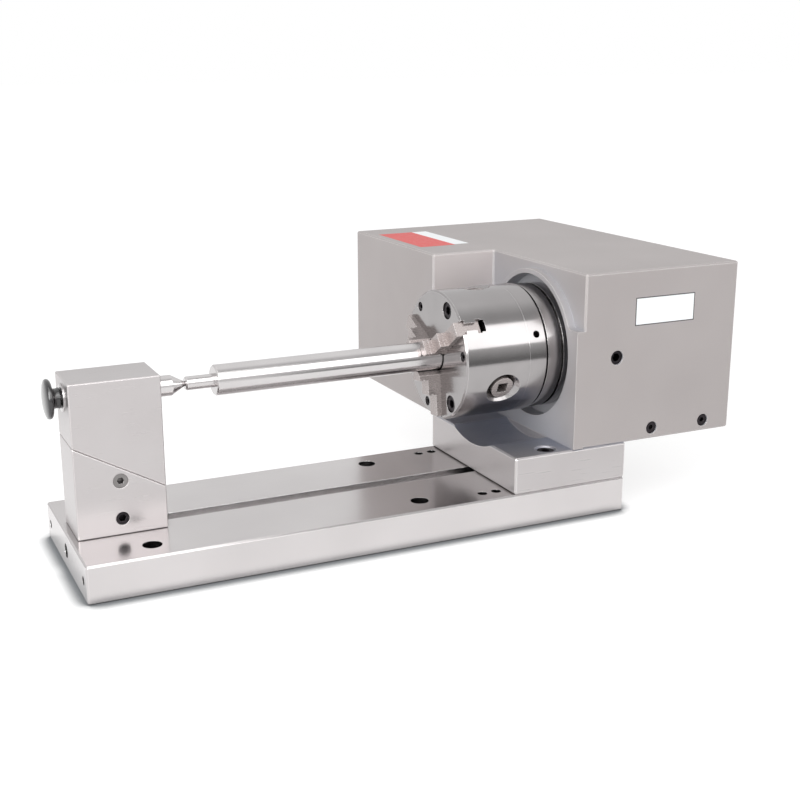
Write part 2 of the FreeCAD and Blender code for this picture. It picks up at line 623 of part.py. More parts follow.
def lock_nut(x, bore_radius):
    """A round nut with two slots for a hook spanner."""
    nut = turned(rectangle("0", bore_radius, "nut_height", "nut_radius"), x)
    slots = [block(f"{x} - {PAST}", "-nut_slot_width / 2", f"axis_height {low}", f"nut_height + {2 * PAST}",
                   "nut_slot_width", f"nut_slot_depth + {PAST}")
             for low in ("+ nut_radius - nut_slot_depth", f"- nut_radius - {PAST}")]
    return cut(nut, slots)


def adaptor_screw_angles():
    """Three screws hold the adaptor to the spindle flange, between those of the chuck."""
    return chuck_angles("chuck_screw_lag")


# Belt drive

def pulley(radius, bore_radius, y):
    """A flanged pulley for a flat belt."""
    rim, width, edge = "pulley_rim_width", "pulley_width", f"{radius} + pulley_rim_height"
    corners = [("0", bore_radius), ("0", edge), (rim, edge), (rim, radius), (f"{width} - {rim}", radius),
               (f"{width} - {rim}", edge), (width, edge), (width, bore_radius)]
    return turned(corners, "pulley_front", y)


def belt_shape():
    """An open belt round two pulleys: two arcs joined by the straight runs that touch both."""
    first, second, span = size("spindle_pulley_radius"), size("motor_pulley_radius"), size("motor_side")

    def loop(extra):
        big, small = first + extra, second + extra
        lean = math.asin((big - small) / span)
        low_big, high_big, low_small, high_small = [
            FreeCAD.Vector(0, y + radius * math.sin(lean), side * radius * math.cos(lean))
            for radius, y in ((big, 0), (small, span)) for side in (-1, 1)]
        edges = [Part.LineSegment(low_big, low_small), Part.LineSegment(high_big, high_small),
                 Part.Arc(low_big, FreeCAD.Vector(0, -big, 0), high_big),
                 Part.Arc(low_small, FreeCAD.Vector(0, span + small, 0), high_small)]
        return Part.Face(Part.Wire(Part.__sortEdges__([edge.toShape() for edge in edges])))

    inside = size("fit_gap")
    band = loop(inside + size("belt_height")).cut(loop(inside))
    return band.extrude(FreeCAD.Vector(size("belt_width"), 0, 0))


def drive():
    """Pulleys and belt."""
    ready(pulley("spindle_pulley_radius", "pulley_seat", "0"), "spindle_pulley")
    ready(pulley("motor_pulley_radius", "motor_shaft / 2", "motor_side"), "motor_pulley")
    belt = doc.addObject("Part::Feature", "Belt")
    belt.Shape = belt_shape()
    put(belt, "pulley_front + (pulley_width - belt_width) / 2", "0", "axis_height")
    ready(belt, "drive_belt")


def motor():
    """The motor, its shaft, the angle bracket that carries it and its screws."""
    rim, bore = "motor_radius - motor_cap_step", "motor_shaft / 2 + fit_gap"
    cap = "motor_length - motor_cap_length"
    well = "motor_length - motor_shaft_root"
    corners = [("0", "0"), ("0", "motor_radius - motor_bevel"), ("motor_bevel", "motor_radius"),
               (cap, "motor_radius"), (cap, rim), ("motor_length", rim), ("motor_length", bore), (well, bore),
               (well, "0")]
    diagonal = "motor_screw_circle * sin(45)"
    spots = [(f"motor_side {across} {diagonal}", f"axis_height {up} {diagonal}")
             for across in "+-" for up in "+-"]
    taps = [drill("-X", "motor_face", y, z, "motor_screw", "motor_screw_bite + 2 * fit_gap") for y, z in spots]
    ready(cut(turned(corners, "motor_face - motor_length", "motor_side"), taps), "motor_body")
    root = "motor_face - motor_shaft_root + fit_gap"
    ready(rod("X", root, "motor_side", "axis_height", "motor_shaft", f"pulley_rear - ({root})"), "motor_shaft")
    side = "motor_side - bracket_width / 2"
    plate = fuse([
        block("motor_face", side, "cover_floor", "bracket_height", "bracket_width",
              "axis_height + motor_radius - cover_floor"),
        block("motor_face - bracket_toe", side, "cover_floor", "bracket_toe + bracket_height",
              "bracket_width", "bracket_toe_height"),
    ])
    holes = [drill("X", "motor_face", "motor_side", "axis_height", "bracket_hole", "bracket_height",
                   through=True)]
    holes += [drill("X", "motor_face", y, z, "motor_screw + screw_slack", "bracket_height", through=True)
              for y, z in spots]
    holes.append(rod("-X", "motor_face", "motor_side", "axis_height", "2 * motor_radius", "motor_length"))
    ready(cut(plate, holes), "motor_bracket")
    screws = [cap_screw("-X", "motor_face + bracket_height + motor_screw_head_height", y, z,
                        "bracket_height + motor_screw_bite", "motor_screw", "motor_screw_head",
                        "motor_screw_head_height", "motor_screw_socket") for y, z in spots]
    ready(group(screws), "motor_screws")


# Chuck

def chuck_angles(lead="0"):
    """The angles of three like features, from the angle of the first jaw."""
    return [f"jaw_angle + {120 * i} + ({lead})" for i in range(3)]


def mounting_screw_spots():
    """Where the three large screws go through the chuck into the adaptor."""
    return [on_circle("chuck_screw_circle", angle) for angle in chuck_angles("-chuck_screw_lag")]


def face_screw_spots():
    """Where the three small screws hold the body to its back plate."""
    return [on_circle("face_screw_circle", angle) for angle in chuck_angles("face_screw_lead")]


def radial_rod(x, angle, start, diameter, length):
    """A round bar that points away from the spindle axis."""
    bar = doc.addObject("Part::Cylinder", "Spoke")
    bar.Placement = FreeCAD.Placement(FreeCAD.Vector(), FreeCAD.Rotation(AXIS_X, 1))
    y, z = on_circle(start, angle)
    return bind(bar, Radius=f"({diameter}) / 2", Height=length, Placement__Rotation__Angle=angle,
                Placement__Base__x=x, Placement__Base__y=y, Placement__Base__z=z)


def radial_block(angle, front, back, low, high, width):
    """A box that lies along a radius of the chuck, between two depths behind its face."""
    box = doc.addObject("Part::Box", "Slot")
    box.Placement = FreeCAD.Placement(FreeCAD.Vector(), FreeCAD.Rotation(AXIS_X, 1))
    side = f"-({width}) / 2"
    return bind(box, Length=f"{back} - ({front})", Width=width, Height=f"{high} - ({low})",
                Placement__Rotation__Angle=angle, Placement__Base__x=f"chuck_face + {front}",
                Placement__Base__y=f"({side}) * cos({angle}) - ({low}) * sin({angle})",
                Placement__Base__z=f"axis_height + ({side}) * sin({angle}) + ({low}) * cos({angle})")


def adaptor():
    """The plate between the spindle flange and the chuck, with a groove at each end."""
    wide, narrow = "flange_radius", "flange_radius - adaptor_groove_depth"
    rear_groove = "adaptor_length - adaptor_groove"
    corners = [("0", "chuck_bore / 2"), ("0", narrow), ("adaptor_groove", narrow), ("adaptor_groove", wide),
               (rear_groove, wide), (rear_groove, narrow), ("adaptor_length", narrow),
               ("adaptor_length", "chuck_bore / 2")]
    sink = "adaptor_screw_sink + adaptor_screw_head_height"
    holes, screws = [], []
    for angle in adaptor_screw_angles():
        y, z = on_circle("adaptor_screw_circle", angle)
        holes.append(drill("X", "adaptor_front", y, z, "adaptor_screw + screw_slack", "adaptor_length",
                           through=True))
        holes.append(drill("X", "adaptor_front", y, z, "adaptor_screw_head + screw_slack", sink))
        screws.append(cap_screw("X", "adaptor_front + adaptor_screw_sink", y, z,
                                f"adaptor_length - ({sink}) + flange_height", "adaptor_screw",
                                "adaptor_screw_head", "adaptor_screw_head_height", "adaptor_screw_socket"))
    for y, z in mounting_screw_spots():
        holes.append(drill("X", "adaptor_front", y, z, "bolt_body", "chuck_screw_bite + fit_gap"))
    ready(cut(turned(corners, "adaptor_front"), holes), "adaptor_plate")
    ready(group(screws), "adaptor_screws")


def chuck_back_plate():
    """The plate behind the chuck body, whose boss carries the scroll and the pinions' inner ends."""
    hub_in, hub_out = "scroll_bore / 2 + scroll_gap", "mesh_inner - scroll_gap"
    front, rear = "scroll_hub_back + scroll_gap", "chuck_length + back_plate_length"
    corners = [(front, hub_in), (front, hub_out), ("chuck_length", hub_out), ("chuck_length", "chuck_radius"),
               (rear, "chuck_radius"), (rear, "chuck_bore / 2"), ("chuck_length", "chuck_bore / 2"),
               ("chuck_length", hub_in)]
    holes = [drill("X", "seam_face", y, z, "bolt_hole", "back_plate_length", through=True)
             for y, z in mounting_screw_spots()]
    holes += [drill("X", "seam_face", y, z, "face_screw", "face_screw_bite") for y, z in face_screw_spots()]
    holes += [radial_rod("chuck_face + pinion_depth", angle, "0", "pinion_pilot + 2 * fit_gap", "mesh_inner")
              for angle in chuck_angles("60")]
    holes += [radial_rod("seam_face + back_plate_length / 2", f"rim_hole_angle + {120 * i}",
                         "chuck_radius - rim_hole_depth", "rim_hole", f"rim_hole_depth + {PAST}")
              for i in range(3)]
    ready(cut(turned(corners, "chuck_face"), holes), "chuck_back_plate")


def chuck_body():
    """The chuck's drum: three jaw slots in front, a room for the scroll behind, a hole for each pinion."""
    hub = "scroll_bore / 2 - fit_gap"
    corners = [("0", "chuck_bore / 2"), ("0", "chuck_radius - chuck_bevel"), ("chuck_bevel", "chuck_radius"),
               ("chuck_length", "chuck_radius"), ("chuck_length", "cavity_radius"),
               ("jaw_depth", "cavity_radius"), ("jaw_depth", hub), ("scroll_hub_back", hub),
               ("scroll_hub_back", "chuck_bore / 2")]
    rim = f"chuck_radius + {PAST}"
    tools = []
    for angle in chuck_angles():
        tools.append(radial_block(angle, f"-{PAST}", "jaw_lip + fit_gap", "0", rim, "jaw_slot"))
        tools.append(radial_block(angle, "jaw_lip", "jaw_depth", "0", rim, "jaw_neck + 2 * fit_gap"))
        tools.append(radial_block(angle, "jaw_depth - jaw_foot_height - fit_gap", "jaw_depth + fit_gap", "0",
                                  rim, "jaw_slot"))
        tools.append(radial_block(angle, "jaw_depth", "scroll_face + thread_height", "0", rim,
                                  "tooth_rail + 2 * scroll_gap"))
    for y, z in mounting_screw_spots():
        tools.append(drill("X", "chuck_face", y, z, "bolt_hole", "chuck_length", through=True))
        tools.append(drill("X", "chuck_face", y, z, "chuck_screw_head_hole", "bolt_head_sink"))
    for y, z in face_screw_spots():
        tools.append(drill("X", "chuck_face", y, z, "face_screw_head_hole",
                           "face_screw_sink + face_screw_head_height"))
        tools.append(drill("X", "chuck_face", y, z, "face_screw", "chuck_length", through=True))
    for angle in chuck_angles("60"):
        x = "chuck_face + pinion_depth"
        tools.append(radial_rod(x, angle, "mesh_outer - scroll_gap", "2 * (pinion_head_radius + 2 * fit_gap)",
                                "chuck_radius"))
        flare = doc.addObject("Part::Cone", "Flare")
        flare.Placement = FreeCAD.Placement(FreeCAD.Vector(), FreeCAD.Rotation(AXIS_X, 1))
        y, z = on_circle("chuck_radius - pinion_rim", angle)
        bind(flare, Radius1="pinion_head_radius", Radius2=f"pinion_head_radius + pinion_rim + {PAST}",
             Height=f"pinion_rim + {PAST}", Placement__Rotation__Angle=angle, Placement__Base__x=x,
             Placement__Base__y=y, Placement__Base__z=z)
        tools.append(flare)
    ready(cut(turned(corners, "chuck_face"), tools), "chuck_body")
    screws = [cap_screw("X", "chuck_face + bolt_head_sink - bolt_head_height", y, z,
                        "chuck_length + back_plate_length - bolt_head_sink + chuck_screw_bite")
              for y, z in mounting_screw_spots()]
    ready(group(screws), "chuck_mounting_screws")
    screws = [cap_screw("X", "chuck_face + face_screw_sink", y, z,
                        "chuck_length + face_screw_bite - face_screw_sink - face_screw_head_height - fit_gap",
                        "face_screw - 2 * fit_gap", "face_screw_head", "face_screw_head_height",
                        "face_screw_socket") for y, z in face_screw_spots()]
    ready(group(screws), "chuck_face_screws")


# Scroll, jaws and pinions, worked out in the chuck's own frame

def point(depth, across, radius):
    """A point of the chuck's own frame: depth behind its face, across, and out from its axis."""
    return FreeCAD.Vector(depth, across, radius)


def closed(points):
    """A closed wire of straight sides."""
    return Part.makePolygon(points + points[:1])


def in_chuck(shape, label, angle):
    """Stand a shape of the chuck's own frame in its place, turned to an angle about the axis."""
    feature = doc.addObject("Part::Feature", label)
    feature.Shape = shape
    feature.Placement = FreeCAD.Placement(FreeCAD.Vector(), FreeCAD.Rotation(AXIS_X, angle))
    bind(feature, Placement__Base__x="chuck_face", Placement__Base__z="axis_height")
    return ready(feature, label)


def thread_radius(turn):
    """The radius of the thread's middle, so many turns in from the scroll's edge."""
    return size("scroll_radius") - size("thread_width") / 2 - size("scroll_pitch") * turn


def flank(first_turn, last_turn, side):
    """One flank of the spiral thread: its radius falls by one pitch for each turn about X."""
    steps = int((last_turn - first_turn) * 16)
    points = []
    for i in range(steps + 1):
        turn = first_turn + (last_turn - first_turn) * i / steps
        radius = thread_radius(turn) + side * size("thread_width") / 2
        angle = 2 * math.pi * turn
        points.append(point(0, -radius * math.sin(angle), radius * math.cos(angle)))
    curve = Part.BSplineCurve()
    curve.interpolate(points)
    return curve.toShape(), points


def gear_depth(at_radius, step):
    """Depth behind the chuck's face of the crown gear's cone, a step beyond its pitch cone."""
    share = at_radius / size("mesh_radius")
    return size("pinion_depth") - (size("pinion_pitch_radius") + step) * share


def crown_tooth():
    """One tooth of the crown gear: its section grows with the distance from the axis."""
    pitch = 2 * math.pi * size("mesh_radius") / int(size("crown_teeth"))
    half, slope = pitch * size("tooth_share") / 2, math.tan(math.radians(size("pressure_angle")))
    root, tip = size("dedendum"), -size("addendum")
    wires = []
    for at_radius in (size("mesh_inner"), size("mesh_outer") - size("scroll_gap")):
        share = at_radius / size("mesh_radius")
        wide, narrow = (half + root * slope) * share, (half + tip * slope) * share
        bottom, top = gear_depth(at_radius, root + size("fit_gap")), gear_depth(at_radius, tip)
        wires.append(closed([point(bottom, -wide, at_radius), point(bottom, wide, at_radius),
                             point(top, narrow, at_radius), point(top, -narrow, at_radius)]))
    return Part.makeLoft(wires, True, True)


def scroll_plate():
    """The spiral thread that drives the jaws, with a crown gear on its back."""
    root = size("scroll_face") + size("thread_height")
    bore, radius, hub = size("scroll_bore") / 2, size("scroll_radius"), size("scroll_hub_radius")
    turns = (radius - size("thread_width") - bore - size("scroll_gap")) / size("scroll_pitch")
    first, last = size("thread_lead_in"), turns
    inside, low_points = flank(first, last, -1)
    outside, high_points = flank(first, last, 1)
    ends = [Part.LineSegment(low_points[i], high_points[i]).toShape() for i in (0, -1)]
    thread = Part.Face(Part.Wire(Part.__sortEdges__([inside, outside] + ends)))
    thread = thread.extrude(FreeCAD.Vector(size("thread_height") + size("fit_gap"), 0, 0))
    thread.translate(FreeCAD.Vector(size("scroll_face"), 0, 0))
    low, back = size("dedendum"), size("scroll_hub_back")
    corners = [point(root, 0, bore), point(root, 0, radius), point(gear_depth(radius, low), 0, radius),
               point(gear_depth(hub, low), 0, hub), point(back, 0, hub), point(back, 0, bore)]
    disc = Part.Face(closed(corners)).revolve(FreeCAD.Vector(), AXIS_X, 360)
    teeth = []
    count = int(size("crown_teeth"))
    for i in range(count):
        tooth = crown_tooth()
        tooth.rotate(FreeCAD.Vector(), AXIS_X, 360 * i / count)
        teeth.append(tooth)
    in_chuck(disc.fuse([thread] + teeth), "scroll_plate", size("jaw_angle"))


def column(corners, low, high):
    """A plan of (across, radius) corners, raised between two depths."""
    flat = Part.Face(closed([point(low, across, radius) for across, radius in corners]))
    return flat.extrude(FreeCAD.Vector(high - low, 0, 0))


def jaw_plan(half_width, inner, outer):
    """A jaw's plan: straight sides that close at right angles to its narrow nose."""
    nose = size("jaw_nose") / 2
    slope = half_width - nose
    return [(-nose, inner), (nose, inner), (half_width, inner + slope), (half_width, outer),
            (-half_width, outer), (-half_width, inner + slope)]


def relieved(top, bottom, radius):
    """The side of a jaw's step, from its top to its bottom, with a relief groove across its middle."""
    middle, half = (top + bottom) / 2, size("jaw_relief_width") / 2
    floor = radius - size("jaw_relief_depth")
    return [(top, radius), (middle - half, radius), (middle - half, floor), (middle + half, floor),
            (middle + half, radius), (bottom, radius)]


def jaw_shape(index):
    """A stepped jaw with a pointed nose, a neck and foot for the slot and arc teeth for the scroll."""
    inner = size("grip_radius")
    outer = inner + size("jaw_length")
    depth, foot, lip = size("jaw_depth"), size("jaw_foot_height"), size("jaw_lip")
    half, neck_half = size("jaw_width") / 2, size("jaw_neck") / 2
    first = inner + size("jaw_first_land")
    second = first + size("jaw_second_land")
    reach, middle, low = -size("jaw_reach"), -size("jaw_second_step"), -size("jaw_third_step")
    side = [(reach, inner)] + relieved(reach, middle, first) + relieved(middle, low, second)
    side += [(low, outer), (depth, outer), (depth, inner)]
    body = Part.Face(closed([point(x, -half, radius) for x, radius in side]))
    body = body.extrude(FreeCAD.Vector(0, 2 * half, 0))
    front = column(jaw_plan(half, inner, outer), reach, lip)
    neck = column(jaw_plan(neck_half, inner, outer), lip, depth - foot)
    rail = column(jaw_plan(half, inner, outer), depth - foot, depth)
    teeth = []
    rail_half, lap = size("tooth_rail") / 2, size("fit_gap")
    height, tooth = size("thread_height") + lap, size("tooth_width") / 2
    start = point(depth - lap, 0, 0)
    for turn in range(int((outer - inner) / size("scroll_pitch"))):
        between = thread_radius(index / 3 + turn + 0.5)
        if between - tooth > inner and between + tooth < outer:
            ring = Part.makeCylinder(between + tooth, height, start, AXIS_X)
            ring = ring.cut(Part.makeCylinder(between - tooth, height, start, AXIS_X))
            teeth.append(ring.common(Part.makeBox(depth, 2 * rail_half, outer, point(0, -rail_half, 0))))
    return body.common(front.fuse([neck, rail])).fuse(teeth).removeSplitter()


def jaws():
    for index in range(3):
        in_chuck(jaw_shape(index), f"jaw_{index + 1}", size("jaw_angle") + 120 * index)


def pinion_shape():
    """A bevel pinion on a radial stem, with a square socket for the chuck key."""
    inner, outer, end = size("mesh_inner"), size("mesh_outer"), size("pinion_head_end")
    pitch, count = size("pinion_pitch_radius"), int(size("pinion_teeth"))
    tip, root = pitch + size("addendum"), pitch - size("dedendum")
    tip_lean, root_lean = size("pinion_tip_lean"), size("pinion_root_lean")
    wires = []
    for at_radius in (inner, outer):
        share = at_radius / size("mesh_radius")
        points = []
        for i in range(count):
            middle = 360 / count * (i + 0.5)
            for radius, lean in ((root, -root_lean), (tip, -tip_lean), (tip, tip_lean), (root, root_lean)):
                angle = math.radians(middle + lean)
                reach = radius * share
                points.append(point(-reach * math.cos(angle), reach * math.sin(angle), at_radius))
        wires.append(closed(points))
    gear = Part.makeLoft(wires, True, True)
    stem = Part.makeCylinder(size("pinion_head_radius"), end - outer, point(0, 0, outer))
    pilot_end = size("pinion_pilot_end")
    pilot = Part.makeCylinder(size("pinion_pilot") / 2, inner - pilot_end, point(0, 0, pilot_end))
    flat, deep = size("pinion_square"), size("pinion_square_depth")
    socket = Part.makeBox(flat, flat, deep + PAST, point(-flat / 2, -flat / 2, end - deep))
    shape = gear.fuse([stem, pilot]).cut(socket)
    place = FreeCAD.Placement(point(size("pinion_depth"), 0, 0), FreeCAD.Rotation())
    return shape.transformGeometry(place.Matrix)


def pinions():
    for index in range(3):
        in_chuck(pinion_shape(), f"pinion_{index + 1}", size("jaw_angle") + 60 + 120 * index)


# Bar between the chuck and the centre

def test_bar():
    """A round bar with a pin at one end, as a finished punch has."""
    pin, bar, bevel = "pin_diameter / 2", "bar_diameter / 2", "bar_bevel"
    length = "chuck_face + bar_in_chuck - pin_end"
    corners = [("centre_hole / 2 / tan(centre_angle)", "0"), ("0", "centre_hole / 2"),
               ("0", f"{pin} - {bevel}"), (bevel, pin), ("pin_length", pin), ("pin_length", f"{bar} - {bevel}"),
               (f"pin_length + {bevel}", bar), (f"{length} - {bevel}", bar), (length, f"{bar} - {bevel}"),
               (length, "0")]
    ready(turned(corners, "pin_end"), "test_bar")


# Tailstock

def seam_at(distance, drop="0"):
    """Height of the sloping seam at a distance from the middle of the tailstock."""
    return f"seam_middle - ({distance}) * tan(seam_angle) - ({drop}) / cos(seam_angle)"


def below_seam(left, right, depth):
    """A four-cornered outline from a little above the seam to a depth below it, along the slope."""
    above = "-tongue_root"
    return [(left, seam_at(left, above)), (left, seam_at(left, depth)), (right, seam_at(right, depth)),
            (right, seam_at(right, above))]


def upright(corners, width, bevel=None):
    """An outline in the plane of the spindle axis, raised to both sides of it."""
    return slab("XZ_Plane", corners, width, x="tail_middle", y=f"({width}) / 2", bevel=bevel)


def tail_base():
    """The fixed half of the tailstock, with the key that guides it and the room for the tongue."""
    half = "tail_length / 2"
    body = upright([(f"-{half}", "base_height"), (half, "base_height"), (half, seam_at(half)),
                    (f"-{half}", seam_at(f"-{half}"))], "tail_width", "tail_bevel")
    room = upright(below_seam(f"-{half} + tongue_inset - tongue_room", f"{half} - tongue_inset + tongue_room",
                              "tongue_depth + screw_slack"), "tongue_width + 2 * tongue_gap")
    key_start = "tail_middle - key_length / 2"
    slot = block(key_start, "-key_width / 2", f"base_height - {PAST}", "key_length", "key_width",
                 f"key_stem_height + {PAST}")
    clamp = ("tail_middle", "-tail_width / 2", "base_height + clamp_screw_height")
    stud = ("tail_middle", "-tail_width / 2", "base_height + stud_height")
    tools = [room, slot,
             drill("Y", *clamp, "clamp_washer + 2 * clamp_screw_slack", "clamp_seat_depth"),
             drill("Y", *clamp, "clamp_screw + clamp_screw_slack", "tail_width / 2"),
             drill("Y", *stud, "stud + clamp_screw_slack", "(tail_width - key_width) / 2")]
    ready(cut(body, tools), "tail_base")
    ready(block(key_start, "-key_width / 2", "base_height - groove_depth + key_lift", "key_length", "key_width",
                "groove_depth - key_lift + key_stem_height"), "tail_key")
    tail_screws(clamp, stud)


def tail_screws(clamp, stud):
    """The screw and washer that clamp the height, and the screw that clamps the tailstock to its key."""
    head = moved("Y", clamp, "clamp_head_sink")
    seat = moved("Y", clamp, "clamp_seat_depth - clamp_washer_height")
    shank = "tail_width / 2 - clamp_head_sink - tongue_width / 2 - tongue_gap"
    screw = fuse([rod("Y", *head, "clamp_head", "clamp_seat_depth - clamp_head_sink - clamp_washer_height"),
                  rod("Y", *head, "clamp_screw", shank)])
    ready(cut(screw, [hexagon("Y", *head, "clamp_socket", "clamp_socket_depth")]), "height_clamp_screw")
    ready(cut(rod("Y", *seat, "clamp_washer", "clamp_washer_height"),
              [drill("Y", *seat, "clamp_screw + clamp_screw_slack", "clamp_washer_height", through=True)]),
          "clamp_washer")
    start = moved("Y", stud, "stud_sink")
    body = rod("Y", *start, "stud", "(tail_width - key_width) / 2 - stud_sink - fit_gap")
    ready(cut(body, [hexagon("Y", *start, "stud_socket", "stud_socket_depth")]), "base_clamp_screw")


def tail_block():
    """The upper half of the tailstock: its tongue slides down the slope, its bore holds the centre."""
    half = "tail_length / 2"
    body = upright([(half, "tail_top"), (f"-{half}", "tail_top"),
                    (f"-{half}", seam_at(f"-{half}", "-seam_gap")), (half, seam_at(half, "-seam_gap"))],
                   "tail_width", "tail_bevel")
    tongue = upright(below_seam(f"-{half} + tongue_inset + height_travel", f"{half} - tongue_inset",
                                "tongue_depth"), "tongue_width")
    bores = [drill("X", "tail_left", "0", "axis_height", "2 * bush_radius", "tail_length - quill_guide"),
             drill("X", "tail_left", "0", "axis_height", "centre_diameter + 2 * fit_gap", "tail_length",
                   through=True)]
    ready(cut(fuse([body, tongue]), bores), "tail_block")


def tail_centre():
    """The sprung centre, its bush and its pull knob."""
    rear, guide = "-(bush_proud + knob_gap + knob_neck)", "tail_length - quill_guide"
    collar, collar_radius = f"{guide} - collar_length", "bush_radius - collar_gap"
    full, thin, tip = "centre_diameter / 2", "quill_rod / 2", "tail_length + centre_reach"
    corners = [(rear, "0"), (rear, thin), (collar, thin), (collar, collar_radius), (guide, collar_radius),
               (guide, full), (f"{tip} - {full} / tan(centre_angle)", full), (tip, "0")]
    ready(turned(corners, "tail_left"), "centre_quill")
    bore, end = f"{thin} + fit_gap", "bush_length + bush_proud"
    corners = [("0", bore), ("0", "bush_radius - bush_step"), ("bush_step", "bush_radius"),
               (end, "bush_radius"), (end, bore)]
    ready(turned(corners, "tail_left - bush_proud"), "rear_bush")
    crown = [(f"knob_height * {depth}", f"knob_radius * {share}")
             for depth, share in ((0, 0.55), (0.3, 0.9), (0.6, 1), (0.85, 0.96), (1, 0.75))]
    end = "knob_height + knob_neck"
    neck = [("knob_height", "knob_neck_radius"), (end, "knob_neck_radius"), (end, thin),
            ("knob_height", thin), ("knob_height", "0")]
    corners = [("0", "0")] + crown + neck
    ready(turned(corners, f"tail_left - bush_proud - knob_gap - ({end})"), "pull_knob")


def centre_spring():
    """The spring that presses the centre into the bar."""
    wire = size("spring_wire")
    room = size("tail_length") - size("quill_guide") - size("collar_length") - size("bush_length")
    length = room - 2 * size("spring_gap") - wire
    radius = (size("bush_radius") + size("quill_rod") / 2) / 2
    helix = Part.makeHelix(length / size("spring_turns"), length, radius)
    section = Part.Wire([Part.makeCircle(wire / 2, helix.Vertexes[0].Point, AXIS_Y)])
    coil = Part.Wire(helix).makePipeShell([section], True, True)
    coil.rotate(FreeCAD.Vector(), AXIS_Y, 90)
    spring = doc.addObject("Part::Feature", "Spring")
    spring.Shape = coil
    bind(spring, Placement__Base__x="tail_left + bush_length + spring_wire / 2 + spring_gap",
         Placement__Base__z="axis_height")
    ready(spring, "centre_spring")


def check_all():
    """Stop if anything in the document failed, or a finished piece has no sound shape."""
    doc.recompute()
    for obj in doc.Objects:
        if {"Invalid", "Error"} & set(obj.State):
            raise RuntimeError(f"{obj.Name} ({obj.Label}) failed: {obj.State}")
    for piece in finished:
        if piece.Shape.isNull() or not piece.Shape.isValid():
            raise RuntimeError(f"{piece.Label} has no sound shape")


def write_all():
    """Write each finished piece to its own file."""
    os.makedirs("parts", exist_ok=True)
    for piece in finished:
        piece.Shape.exportStep(f"parts/{piece.Label}.step")
    print(len(finished), "pieces written")


for make in (base_plate, headstock_foot, headstock_housing, bottom_cover, end_cover, lock_screw, cable_gland,
             bearing_tube, bearings, spindle, drive, motor, adaptor, chuck_back_plate, chuck_body,
             scroll_plate, jaws, pinions, test_bar, tail_base, tail_block, tail_centre, centre_spring):
    make()
check_all()
write_all()
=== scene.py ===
import math

import bmesh
import bpy
from mathutils import Euler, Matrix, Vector


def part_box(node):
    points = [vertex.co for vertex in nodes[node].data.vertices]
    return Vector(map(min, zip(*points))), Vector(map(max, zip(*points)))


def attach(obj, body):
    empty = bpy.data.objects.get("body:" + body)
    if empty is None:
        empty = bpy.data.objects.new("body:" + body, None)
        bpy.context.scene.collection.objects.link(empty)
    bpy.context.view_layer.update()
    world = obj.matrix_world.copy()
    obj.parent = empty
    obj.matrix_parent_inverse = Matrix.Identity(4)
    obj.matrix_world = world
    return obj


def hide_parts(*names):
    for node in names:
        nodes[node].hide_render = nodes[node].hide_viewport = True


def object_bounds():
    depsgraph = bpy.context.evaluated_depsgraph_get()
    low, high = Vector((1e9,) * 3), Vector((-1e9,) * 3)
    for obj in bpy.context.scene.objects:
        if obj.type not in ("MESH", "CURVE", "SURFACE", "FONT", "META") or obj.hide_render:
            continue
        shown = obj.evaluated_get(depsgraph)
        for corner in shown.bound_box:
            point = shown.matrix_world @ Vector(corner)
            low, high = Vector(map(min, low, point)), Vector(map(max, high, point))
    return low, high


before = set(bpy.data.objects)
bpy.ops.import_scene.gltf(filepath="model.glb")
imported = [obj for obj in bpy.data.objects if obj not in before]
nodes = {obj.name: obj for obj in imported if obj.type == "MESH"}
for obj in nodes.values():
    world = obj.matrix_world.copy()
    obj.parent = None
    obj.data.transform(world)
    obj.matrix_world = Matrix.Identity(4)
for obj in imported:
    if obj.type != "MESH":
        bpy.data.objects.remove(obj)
cad_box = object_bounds()

# The looks of a motorised punch former. Lengths are in metres, and MM turns a millimetre value into them.
MM = 0.001
PER_MM = 1 / MM

# The spindle axis lies along X at this height, in the middle of the width
bar_low, bar_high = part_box("test_bar")
AXIS_HEIGHT = (bar_low.z + bar_high.z) / 2

# Input and output numbers of the colour mix node
MIX_FIRST, MIX_SECOND, MIX_RESULT = 6, 7, 2


# Nodes and colours

def hex_colour(text):
    """An sRGB hex value as a linear colour."""
    parts = [int(text[i:i + 2], 16) / 255 for i in (1, 3, 5)]
    return [part / 12.92 if part <= 0.04045 else ((part + 0.055) / 1.055) ** 2.4 for part in parts] + [1]


def add(tree, kind, inputs=None, **settings):
    """Add a node. Its settings are its own properties, and each input is a value or the output that feeds it."""
    made = tree.nodes.new(kind)
    for name, value in settings.items():
        setattr(made, name, value)
    for name, value in (inputs or {}).items():
        if isinstance(value, bpy.types.NodeSocket):
            tree.links.new(value, made.inputs[name])
        else:
            made.inputs[name].default_value = value
    return made


def start_material(name):
    """An empty material with a surface shader, and the place of each point in the object's own frame."""
    material = bpy.data.materials.new(name)
    material.use_nodes = True
    tree = material.node_tree
    tree.nodes.clear()
    shader = add(tree, "ShaderNodeBsdfPrincipled")
    add(tree, "ShaderNodeOutputMaterial", {"Surface": shader.outputs["BSDF"]})
    where = add(tree, "ShaderNodeTexCoord").outputs["Object"]
    return material, tree, shader, where


def spread(tree, value, low, high, first=0.3, last=0.7):
    """Stretch a value that runs from first to last, so that it runs from low to high."""
    return add(tree, "ShaderNodeMapRange", {"Value": value, "From Min": first, "From Max": last,
                                            "To Min": low, "To Max": high}).outputs["Result"]


def between(tree, share, first, second):
    """A colour between two, by a share."""
    mixed = add(tree, "ShaderNodeMix", {"Factor": share, MIX_FIRST: first, MIX_SECOND: second}, data_type="RGBA")
    return mixed.outputs[MIX_RESULT]
